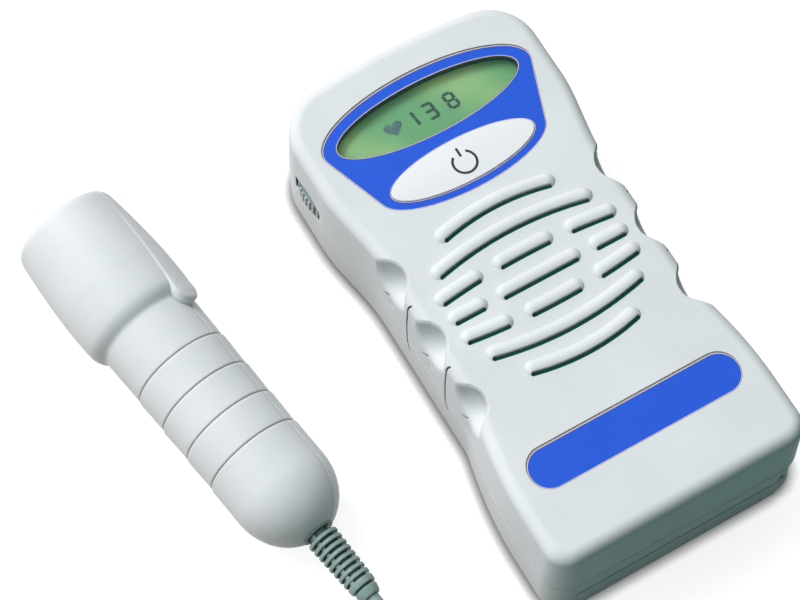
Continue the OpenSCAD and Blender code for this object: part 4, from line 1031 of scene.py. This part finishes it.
@dataclass
class FrontFace:
    """Printed films, the display's segments, the painted shade lining and the button."""

    plan: CasePlan
    details: Details
    film: float = 0.35
    margin: float = 0.22

    def ring(self, name: str, outer: Sequence[Flat], inner: Sequence[Flat], low: float, high: float,
             look: Look, slot: str) -> Piece:
        """Makes a flat ring between two outlines of the same count."""
        n = len(outer)
        points = [(x, y, z) for z in (low, high) for line in (outer, inner) for x, y in line]
        faces = []
        for i in range(n):
            j = (i + 1) % n
            faces += [
                [2 * n + i, 2 * n + j, 3 * n + j, 3 * n + i],
                [i, n + i, n + j, j],
                [i, j, 2 * n + j, 2 * n + i],
                [n + i, 3 * n + i, 3 * n + j, n + j],
            ]
        return shown(new_piece(name, points, faces, look), "monitor", slot)

    def films(self) -> None:
        """Makes both printed films and their bare margins."""
        d, top = self.details, self.plan.height - 0.04
        upper = prism(d.overlay(-self.margin), top - self.film, top)
        upper.name = "upper_film"
        combine(upper, d.openings(self.margin, top - 2, top + 2), Cut.TAKE)
        settle(upper, Look.FILM)
        shown(upper, "monitor", "overlay", "upper_overlay")
        lower = prism(d.band(-self.margin), top - self.film, top)
        lower.name = "lower_film"
        settle(lower, Look.FILM)
        shown(lower, "monitor", "overlay", "lower_overlay")
        edge = d.overlay(0.0)
        centre = (0.0, (d.lcd_y + d.button_y) / 2 + 3)
        shrink = [
            (x - self.margin * 1.1 * (x - centre[0]) / math.hypot(x, y - centre[1]),
             y - self.margin * 1.1 * (y - centre[1]) / math.hypot(x, y - centre[1]))
            for x, y in edge
        ]
        low = top - self.film
        self.ring("upper_margin", edge, shrink, low, top - 0.01, Look.MARGIN, "overlay")
        self.ring("lower_margin", d.band(0.0), d.band(-self.margin), low, top - 0.01, Look.MARGIN, "overlay")
        ovals = (("lcd_margin", d.lcd_half, d.lcd_y), ("button_margin", d.button_half, d.button_y))
        for name, half, y in ovals:
            outer, inner = (oval_points(half[0] + g, half[1] + g, (0, y)) for g in (self.margin, 0.0))
            self.ring(name, outer, inner, low, top - 0.01, Look.MARGIN, "overlay")

    def shade_lining(self) -> None:
        """Makes a dark lining in the display opening: painted shade on its wall."""
        d, top = self.details, self.plan.height
        outer, inner = (oval_points(d.lcd_half[0] - g, d.lcd_half[1] - g, (0, d.lcd_y)) for g in (0.01, 0.25))
        # Painted shade: a lining on the opening's wall
        self.ring("lcd_shade_lining", outer, inner, top - 2.2, top - 0.36, Look.SHADE_LINING, "strip")

    def segments(self) -> None:
        """Draws a heart and a pulse rate in seven-segment strokes on the cell."""
        z = 33.34
        strokes: list[list[Flat]] = []
        lean = -0.11

        def bar(x: float, y: float, w: float, h: float) -> None:
            """Adds one upright or level bar with cut corners."""
            c = 0.16
            flat = [(-w / 2 + c, -h / 2), (w / 2 - c, -h / 2), (w / 2, -h / 2 + c), (w / 2, h / 2 - c),
                    (w / 2 - c, h / 2), (-w / 2 + c, h / 2), (-w / 2, h / 2 - c), (-w / 2, -h / 2 + c)]
            strokes.append([(x + a + lean * (y + b - 53.8), y + b) for a, b in flat])

        bar(-3.75, 55.0, 0.98, 2.2)
        bar(-3.75, 52.65, 0.98, 2.2)
        for x, left in ((0.9, False), (7.35, True)):
            for y in (56.15, 53.85, 51.5):
                bar(x, y, 2.1 if left else 2.7, 0.86)
            for y in (55.0, 52.65):
                bar(x + 1.25, y, 0.92, 2.0)
                if left:
                    bar(x - 1.25, y, 0.92, 2.0)
        pieces = [prism(s, z, z + 0.03) for s in strokes]
        digits = join("pulse_digits", pieces)
        digits.data.materials.append(Look.SEGMENT.value.build())
        shown(digits, "monitor", "glass")
        heart = []
        for i in range(60):
            a = 2 * math.pi * i / 60
            rise = 13 * math.cos(a) - 5 * math.cos(2 * a) - 2 * math.cos(3 * a) - math.cos(4 * a)
            heart.append((-10.3 - 16 * math.sin(a) ** 3 * 0.168, 54.1 + rise * 0.15))
        pulse = prism(heart, z, z + 0.03)
        pulse.name = "pulse_heart"
        pulse.data.materials.append(Look.HEART.value.build())
        shown(pulse, "monitor", "glass")

    def button(self) -> None:
        """Makes the button's smooth cap and the printed sign on it."""
        y = self.details.button_y
        half_x, half_y, shoulder = 21.78, 6.48, 37.05
        levels = [(33.5, 22.9, 7.2), (34.5, 22.9, 7.2), (34.5, half_x, half_y), (shoulder, half_x, half_y)]
        for i in range(1, 9):
            a = math.radians(90 * i / 8)
            inset = 0.3 * (1 - math.cos(a))
            levels.append((shoulder + 0.27 * math.sin(a), half_x - inset, half_y - inset))
        sides = 144
        points = [(px, py, z) for z, *half in levels for px, py in oval_points(*half, (0, y), sides)]
        last, crown = len(points) - sides, len(points)
        points.append((0.0, y, 37.34))
        faces = [list(range(sides - 1, -1, -1))] + tube_faces(len(levels), sides)
        faces += [[last + i, last + (i + 1) % sides, crown] for i in range(sides)]
        cap = new_piece("button_cap", points, faces, Look.BUTTON)
        shown(cap, "button", "button", "power_button")
        sign = []
        centre, radius, half = (0.0, 34.3), 3.3, 0.34
        start, stop, steps = 130, 418, 72
        loop = arc_points(centre, radius + half, start, stop, steps)
        loop += arc_points(centre, radius - half, stop, start, steps)
        sign.append(prism(loop, 37.3, 37.37))
        tick = [(-0.34, 36.15), (0.34, 36.15), (0.34, 38.7), (0.18, 39.0), (-0.18, 39.0), (-0.34, 38.7)]
        sign.append(prism([(px - 0.1, py) for px, py in tick], 37.3, 37.37))
        piece = join("power_sign", sign)
        piece.data.materials.append(Look.INK.value.build())
        shown(piece, "button", "button")

    def build(self) -> None:
        """Builds everything on the front face."""
        self.films()
        self.shade_lining()
        self.segments()
        self.button()


# ------------------------------------------------------------------------ probe


@dataclass
class Probe:
    """The probe's two shells, turned from one profile, and the tongue."""

    turn: float = 99.0
    head: float = 16.8
    grip: float = 14.3
    seam: float = 231.0
    rings: tuple[float, ...] = (33.4, 23.1, 12.8, 2.5)
    tail_s: float = -9.0
    tail_length: float = 16.3
    face_s: float = 86.0
    neck_s: float = 45.0
    seat: float = 5.05
    wall: float = 2.0
    profile: list[Flat] = field(
        default_factory=lambda: [
            (36.0, 14.05), (41.0, 14.15), (47.4, 14.3), (48.0, 14.42), (49.0, 15.35), (50.2, 16.1),
            (51.4, 16.5), (52.8, 16.65), (54.5, 16.74), (58.0, 16.79), (63.0, 16.78), (67.0, 16.6),
            (72.0, 16.3), (76.5, 15.95), (81.0, 15.5), (84.0, 15.15),
        ]
    )

    @property
    def tilt(self) -> float:
        """Returns the axis's rise, in degrees."""
        return math.degrees(math.asin((self.head - self.grip) / 67.0))

    @property
    def base(self) -> Point:
        """Returns the axis's starting point."""
        t = math.radians(self.tilt)
        return (-85.0, -5.0, 0.1 + self.grip * math.cos(t) - self.tail_s * math.sin(t))

    def matrix(self) -> Matrix:
        """Returns the probe's placement, in millimetres."""
        return (
            Matrix.Translation(self.base)
            @ Matrix.Rotation(math.radians(self.turn), 4, "Z")
            @ Matrix.Rotation(math.radians(90 - self.tilt), 4, "Y")
        )

    def radius(self, s: Array) -> Array:
        """Returns the outer radius along the axis, without grooves."""
        knots = np.array(self.profile)
        r = np.interp(s, knots[:, 0], knots[:, 1])
        grip = np.full_like(s, self.grip)
        for low, high in zip((self.tail_s,) + self.rings[::-1], self.rings[::-1] + (self.neck_s,)):
            part = (s >= low) & (s < high) & (low > self.tail_s)
            grip[part] = self.grip - 0.3 * (1 - (s[part] - low) / (high - low))
        r = np.where(s < 36, grip, r)
        tail = np.sqrt(np.clip(1 - ((self.tail_s - s) / self.tail_length) ** 2, 0, 1)) * self.grip
        r = np.where(s < self.tail_s, tail, r)
        end = np.clip((s - (self.face_s - 2.6)) / 2.6, 0, 1)
        return np.where(s > self.face_s - 2.6, r - 1.7 * (1 - np.sqrt(1 - end**2)), r)

    def stations(self) -> Array:
        """Returns the places along the axis where the shells have rings of points."""
        lowest = math.degrees(math.acos(self.seat / self.grip))
        tail = self.tail_s - self.tail_length * np.sin(np.radians(np.linspace(lowest, 0, 40)))
        body = np.arange(self.tail_s + 0.3, self.face_s - 2.6, 0.5)
        fine = np.concatenate([ring + np.linspace(-0.6, 0.6, 13) for ring in self.rings])
        end = self.face_s - 2.6 + 2.6 * np.sin(np.radians(np.linspace(0, 90, 14)))
        return np.unique(np.round(np.concatenate([tail, body, fine, end]), 3))

    def grooves(self, s: Array) -> Array:
        """Returns the depth of the ring grooves along the axis."""
        depth = np.zeros_like(s)
        for ring in self.rings:
            depth += 0.5 * np.exp(-(((s - ring) / 0.27) ** 2))
        return depth

    def place(self, s: Array, angle: Array, r: Array) -> Array:
        """Returns world points, in millimetres, of cylinder coordinates."""
        local = np.stack([r * np.cos(angle), r * np.sin(angle), s + 0 * r], axis=-1).reshape(-1, 3)
        m = np.array(self.matrix())
        return local @ m[:3, :3].T + m[:3, 3]

    @staticmethod
    def grid_faces(rows: int, columns: int) -> Faces:
        """Returns the faces of a grid of points."""
        corners = [r * columns + c for r in range(rows - 1) for c in range(columns - 1)]
        return [[i, i + 1, i + columns + 1, i + columns] for i in corners]

    def half(self, start: float) -> Wall:
        """Returns the points and faces of a half shell from a seam angle on."""
        s = self.stations()
        edge = np.array([0.0, 0.25, 0.6, 1.1])
        turn = np.concatenate([edge, np.linspace(2.0, 178.0, 120), 180 - edge[::-1]])
        drop = np.interp(turn, [0, 0.6, 1.3, 178.7, 179.4, 180], [0.42, 0.16, 0, 0, 0.16, 0.42])
        fade = np.minimum(1, self.radius(s) / 8)[:, None]
        r = (self.radius(s) - self.grooves(s))[:, None] - drop[None, :] * fade
        angle = np.radians(start + turn)[None, :] + 0 * r
        return self.closed(s[:, None] + 0 * r, angle, r, np.maximum(r - self.wall, 0.4))

    def closed(self, s: Array, angle: Array, outer: Array, inner: Array) -> Wall:
        """Returns a wall between an outer and an inner radius, closed round its rim."""
        rows, columns = outer.shape
        skin = self.grid_faces(rows, columns)
        faces = skin + [[rows * columns + i for i in reversed(f)] for f in skin]
        rim = list(range(columns)) + [r * columns + columns - 1 for r in range(1, rows)]
        rim += [(rows - 1) * columns + c for c in range(columns - 2, -1, -1)]
        rim += [r * columns for r in range(rows - 2, 0, -1)]
        faces += [[b, a, rows * columns + a, rows * columns + b] for a, b in zip(rim, rim[1:] + rim[:1])]
        return np.concatenate([self.place(s, angle, outer), self.place(s, angle, inner)]), faces

    def tongue(self) -> Wall:
        """Returns the raised tongue that hangs over the seam from the head."""
        s = np.arange(43.4, 80.0, 0.2)
        w = np.linspace(-5.2, 5.2, 84)
        grid_s, grid_w = np.meshgrid(s, w, indexing="ij")
        tip_s, tip_r, top_s = 48.3, 4.5, 79.0
        half = np.interp(grid_s, [tip_s, 66.0, top_s], [tip_r, 2.6, 0.9])
        inside = np.where(grid_s < tip_s, tip_r - np.hypot(grid_s - tip_s, grid_w), half - np.abs(grid_w))
        inside = np.minimum(inside, top_s - grid_s)
        crown = np.interp(grid_s, [43.4, 47, 57, 65, 72, 79], [16.55, 17.0, 17.15, 17.0, 16.55, 15.85])
        soft = np.clip(inside / 0.9, 0, 1)
        lift = crown - 0.9 * (1 - np.sqrt(1 - (1 - soft) ** 2)) * 0.55
        floor = self.radius(grid_s) - 0.8
        blend = np.clip((inside + 0.28) / 0.28, 0, 1)
        r = floor + (lift - floor) * blend
        angle = np.radians(self.seam) + grid_w / 16.6
        return self.closed(grid_s, angle, r, self.radius(grid_s) - 1.4)

    def relief(self) -> Piece:
        """Makes the strain relief: a flange, ribs joined by four rows of webs, a collar and a nose."""
        flange = [(-21.6, 3.4), (-23.3, 3.4), (-23.3, 4.6), (-23.5, 4.75), (-24.5, 4.75), (-24.7, 4.55),
                  (-24.7, 2.95)]
        collar = [(-41.5, 2.95), (-41.5, 3.7), (-41.8, 3.85), (-43.1, 3.7), (-43.3, 3.5), (-43.3, 2.5)]
        nose = [(-44.0, 2.5), (-44.0, 3.2), (-44.3, 3.35), (-45.9, 2.95), (-46.4, 2.6), (-46.5, 2.2)]
        half, flat, root, pitch = 0.56, 0.36, 2.9, 1.93
        ribs = []
        for i in range(1, 9):
            s, r = -24.75 - pitch * i, 4.5 - 0.07 * i
            ribs += [(s + half, root), (s + half, r - 0.2), (s + flat, r)]
            ribs += [(s - flat, r), (s - half, r - 0.2), (s - half, root)]
        turn = np.radians(np.arange(0, 360, 5.0))
        rings = [self.place(s + 0 * turn, turn, r + 0 * turn).tolist()
                 for s, r in reversed(flange + ribs + collar + nose)]
        body = loft("strain_relief_ribs", rings)
        webs = []
        for i in range(4):
            web = brick((2.0, -0.6, -41.8), (3.6, 0.6, -23.9))
            web.data.transform(self.matrix() @ Matrix.Rotation(math.radians(self.seam + 90 * i), 4, "Z"))
            webs.append(web)
        combine(body, webs, Cut.ADD)
        settle(body, Look.VINYL, 40)
        return shown(body, "probe", "grey", "strain_relief")

    def shells(self) -> None:
        """Makes both shells, with the tongue on the upper one."""
        for name, start, node, extra in (
            ("probe_upper", self.seam - 180, "probe_shell_upper", True),
            ("probe_lower", self.seam, "probe_shell_lower", False),
        ):
            points, faces = self.half(start)
            if extra:
                more, more_faces = self.tongue()
                faces = faces + [[i + len(points) for i in f] for f in more_faces]
                points = np.concatenate([points, more])
            piece = new_piece(name, points.tolist(), faces, Look.PROBE, 50)
            shown(piece, "probe", "case", node)

    def build(self) -> None:
        """Builds the probe."""
        self.shells()
        self.relief()


@dataclass
class Cord:
    """The cord from the probe's strain relief to the plug, with its coil."""

    probe: Probe
    diameter: float = 3.8
    gap: float = 0.45
    outside: float = 32.7
    turns: int = 5
    climb: float = 0.5
    dip: float = 1.1
    centre: Flat = (-62.0, -122.0)
    rest: float = 2.6

    def radius(self, a: float) -> float:
        """Returns the coil's radius after a number of turns."""
        step = self.diameter + self.gap
        inner = self.outside - self.turns * step
        if a <= self.turns:
            return self.outside - step * a
        if a <= self.turns + self.climb:
            return inner - self.dip * math.sin(math.pi * (a - self.turns) / self.climb)
        return inner + step * (a - self.turns - self.climb)

    def coil(self, a: float) -> Vector:
        """Returns a point of the coil after a number of turns."""
        r = self.radius(a)
        high = self.rest + (self.diameter + self.gap) * ease((a - self.turns) / self.climb)
        turn = 2 * math.pi * a
        return Vector((self.centre[0] - r * math.cos(turn), self.centre[1] - r * math.sin(turn), high))

    def route(self) -> list[Vector]:
        """Returns the cord's whole route, in millimetres."""
        m = self.probe.matrix()
        tip = m @ Vector((0, 0, -46.5))
        ahead = -(m.to_3x3() @ Vector((0, 0, 1)))
        points = [tip, tip + ahead * 2, tip + ahead * 4]
        points += [
            Vector(p)
            for p in (
                (-76.4, -60, 11.7), (-76.5, -66, 9.6), (-77.6, -72, 7), (-79.8, -78, 4.7), (-82.8, -84, 3.2),
                (-86.2, -90, 2.7), (-89.6, -96, 2.6), (-92.4, -102, 2.6), (-94.2, -108, 2.6),
            )
        ]
        left = self.centre[0] - self.outside
        points += [Vector((left, self.centre[1] + off, self.rest)) for off in (8, 4)]
        steps = round((2 * self.turns + self.climb) * 24 * 0.985)
        points += [self.coil(i / 24) for i in range(steps + 1)]
        last = steps / 24
        way = (self.coil(last) - self.coil(last - 0.02)).normalized()
        end = points[-1]
        sag = ((4, 0.0), (10, 0.5), (16, 1.3), (20, 1.5))
        return points + [end + way * far - Vector((0, 0, drop)) for far, drop in sag]

    def build(self) -> None:
        points = self.route()
        data = bpy.data.curves.new("cord", "CURVE")
        data.dimensions = "3D"
        data.bevel_depth = self.diameter / 2 * MM
        data.bevel_resolution = 5
        data.use_fill_caps = True
        spline = data.splines.new("POLY")
        spline.points.add(len(points) - 1)
        for item, p in zip(spline.points, points):
            item.co = (p.x * MM, p.y * MM, p.z * MM, 1.0)
        cord = bpy.data.objects.new("cord", data)
        bpy.context.scene.collection.objects.link(cord)
        data.materials.append(Look.VINYL.value.build())
        shown(cord, "probe", "grey", "probe_cord", "cord_coil")


# --------------------------------------------------------------- carried-over nodes


@dataclass
class CarriedNodes:
    """CAD nodes that keep their shape and get a finish."""

    looks: dict[Look, str] = field(
        default_factory=lambda: {
            Look.CASE: "battery_door lcd_holder",
            Look.WINDOW: "lcd_window",
            Look.CELL: "lcd_panel",
            Look.ELASTOMER: "contact_strips",
            Look.BOARD: "display_board main_board probe_board",
            Look.EPOXY: "power_switch switch_plunger board_parts volume_pot earphone_jack",
            Look.NICKEL: "board_screws display_screws wheel_screw case_screws probe_socket battery_springs "
                         "battery_plates plug_sleeve",
            Look.GALVANISED: "speaker_frame speaker_magnet",
            Look.PAPER: "speaker_cone",
            Look.CLOTH: "speaker_cloth",
            Look.WHEEL: "volume_wheel",
            Look.SLEEVE: "battery_front battery_rear",
            Look.SILICONE: "probe_face",
            Look.CERAMIC: "probe_crystals",
            Look.VINYL_DARK: "cord_tie",
            Look.VINYL: "plug_body",
        }
    )

    def build(self) -> None:
        """Assigns each node its finish."""
        for look, names in self.looks.items():
            for name in names.split():
                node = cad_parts[name]
                node.data.materials.clear()
                node.data.materials.append(look.value.build())
                LOG.info("node %s: %s", name, look.value.name)


# ----------------------------------------------------------------------- studio


@dataclass
class Studio:
    """Floor, lights, world and camera."""

    lens: float = 124.9
    eye: Point = (-183.7, -244.1, 694.5)
    right: Point = (0.864464, -0.502689, 0.002511)
    down: Point = (-0.458278, -0.790124, -0.407046)
    ahead: Point = (0.206602, 0.350725, -0.913404)

    def camera(self) -> None:
        """Places the camera where the photograph was taken."""
        data = bpy.data.cameras.new("camera")
        data.lens = self.lens
        data.sensor_width = 36.0
        data.clip_start = 0.01
        data.clip_end = 20
        camera = bpy.data.objects.new("camera", data)
        axes = [Vector(self.right), -Vector(self.down), -Vector(self.ahead)]
        turn = Matrix(axes).transposed().to_4x4()
        camera.matrix_world = Matrix.Translation(Vector(self.eye) * MM) @ turn
        bpy.context.scene.collection.objects.link(camera)
        bpy.context.scene.camera = camera

    def lamp(self, name: str, way: Point, distance: float, size: float, watts: float) -> None:
        """Places a square soft light in a direction from the object."""
        data = bpy.data.lights.new(name, "AREA")
        data.shape = "SQUARE"
        data.size = size
        data.energy = watts
        lamp = bpy.data.objects.new(name, data)
        spot = Vector(way).normalized() * distance + Vector((-0.03, 0.0, 0.02))
        turn = Vector(way).to_track_quat("Z", "Y").to_matrix().to_4x4()
        lamp.matrix_world = Matrix.Translation(spot) @ turn
        bpy.context.scene.collection.objects.link(lamp)

    def floor(self) -> None:
        """Lays a pale floor that reads as white, keeps the lamps' shadow and has a painted contact shadow
        near the object.
        """
        size = 1.6
        mesh = bpy.data.meshes.new("floor")
        corners = [(-size, -size, 0), (size, -size, 0), (size, size, 0), (-size, size, 0)]
        mesh.from_pydata(corners, [], [(0, 1, 2, 3)])
        floor = bpy.data.objects.new("floor", mesh)
        bpy.context.scene.collection.objects.link(floor)
        material = bpy.data.materials.new("backdrop_white_painted_shadow")
        material.use_nodes = True
        tree = material.node_tree
        shader = tree.nodes["Principled BSDF"]
        shader.inputs["Roughness"].default_value = 0.9
        seen = backdrop_rays(tree)
        # Painted shadow: occlusion darkens the floor's colour close to the object
        near = add_node(tree, "AmbientOcclusion", {"Distance": 3.6 * MM}, samples=8).outputs["AO"]
        clear = worked(tree, "POWER", near, 2.2)
        painted_contact_shadow = mixed(tree, clear, "#3C3735", "#B8B8B8")
        along = add_node(tree, "SeparateXYZ", {"Vector": surface_place(tree)}).outputs["Y"]
        card = add_node(tree, "MapRange", {"Value": along, "From Min": -0.1, "From Max": -0.06})
        bounce = mixed(tree, card.outputs["Result"], "#0E5650", "#8A7B70")
        tree.links.new(mixed(tree, seen, bounce, painted_contact_shadow), shader.inputs["Base Color"])
        # Painted shadow: the floor's own light fades where occlusion finds the object near
        power = worked(tree, "MULTIPLY", worked(tree, "MULTIPLY", clear, seen), 0.8)
        shader.inputs["Emission Color"].default_value = (1, 1, 1, 1)
        tree.links.new(power, shader.inputs["Emission Strength"])
        mesh.materials.append(material)

    def world(self) -> None:
        """Lights the object from the far side, with dim beige and green towards the tail."""
        world = bpy.data.worlds.new("studio")
        bpy.context.scene.world = world
        world.use_nodes = True
        tree = world.node_tree
        seen = backdrop_rays(tree)
        way = add_node(tree, "TexCoord").outputs["Generated"]
        lean = add_node(tree, "VectorMath", {0: way, 1: (-0.25, 0.80, 0.55)}, operation="DOT_PRODUCT")
        light = ramp(tree, lean.outputs["Value"], (0.12, "#0E524D"), (0.37, "#AD9A8C"), (0.66, "#D8DDE1"))
        tree.links.new(mixed(tree, seen, light, "#FFFFFF"), tree.nodes["Background"].inputs["Color"])

    def build(self) -> None:
        """Builds the studio."""
        self.camera()
        self.floor()
        self.world()
        self.lamp("key", (-0.34, 0.60, 0.9), 2.6, 1.3, 43.0)
        self.lamp("fill", (-1.0, 0.0, 0.8), 0.55, 0.4, 0.45)
        bpy.context.scene.view_settings.view_transform = "Standard"


def main() -> None:
    """Builds the studio, the monitor, the probe and the cord."""
    logging.basicConfig(level=logging.INFO, format="%(name)s: %(message)s")
    plan = CasePlan()
    details = Details(plan)
    louvres = Louvres(plan)
    probe = Probe()
    Studio().build()
    Cord(probe).build()
    CarriedNodes().build()
    FrontShell(plan, details, louvres).build()
    louvres.cloth()
    BackShell(plan, details).build()
    FrontFace(plan, details).build()
    probe.build()


if __name__ == "__main__":
    main()
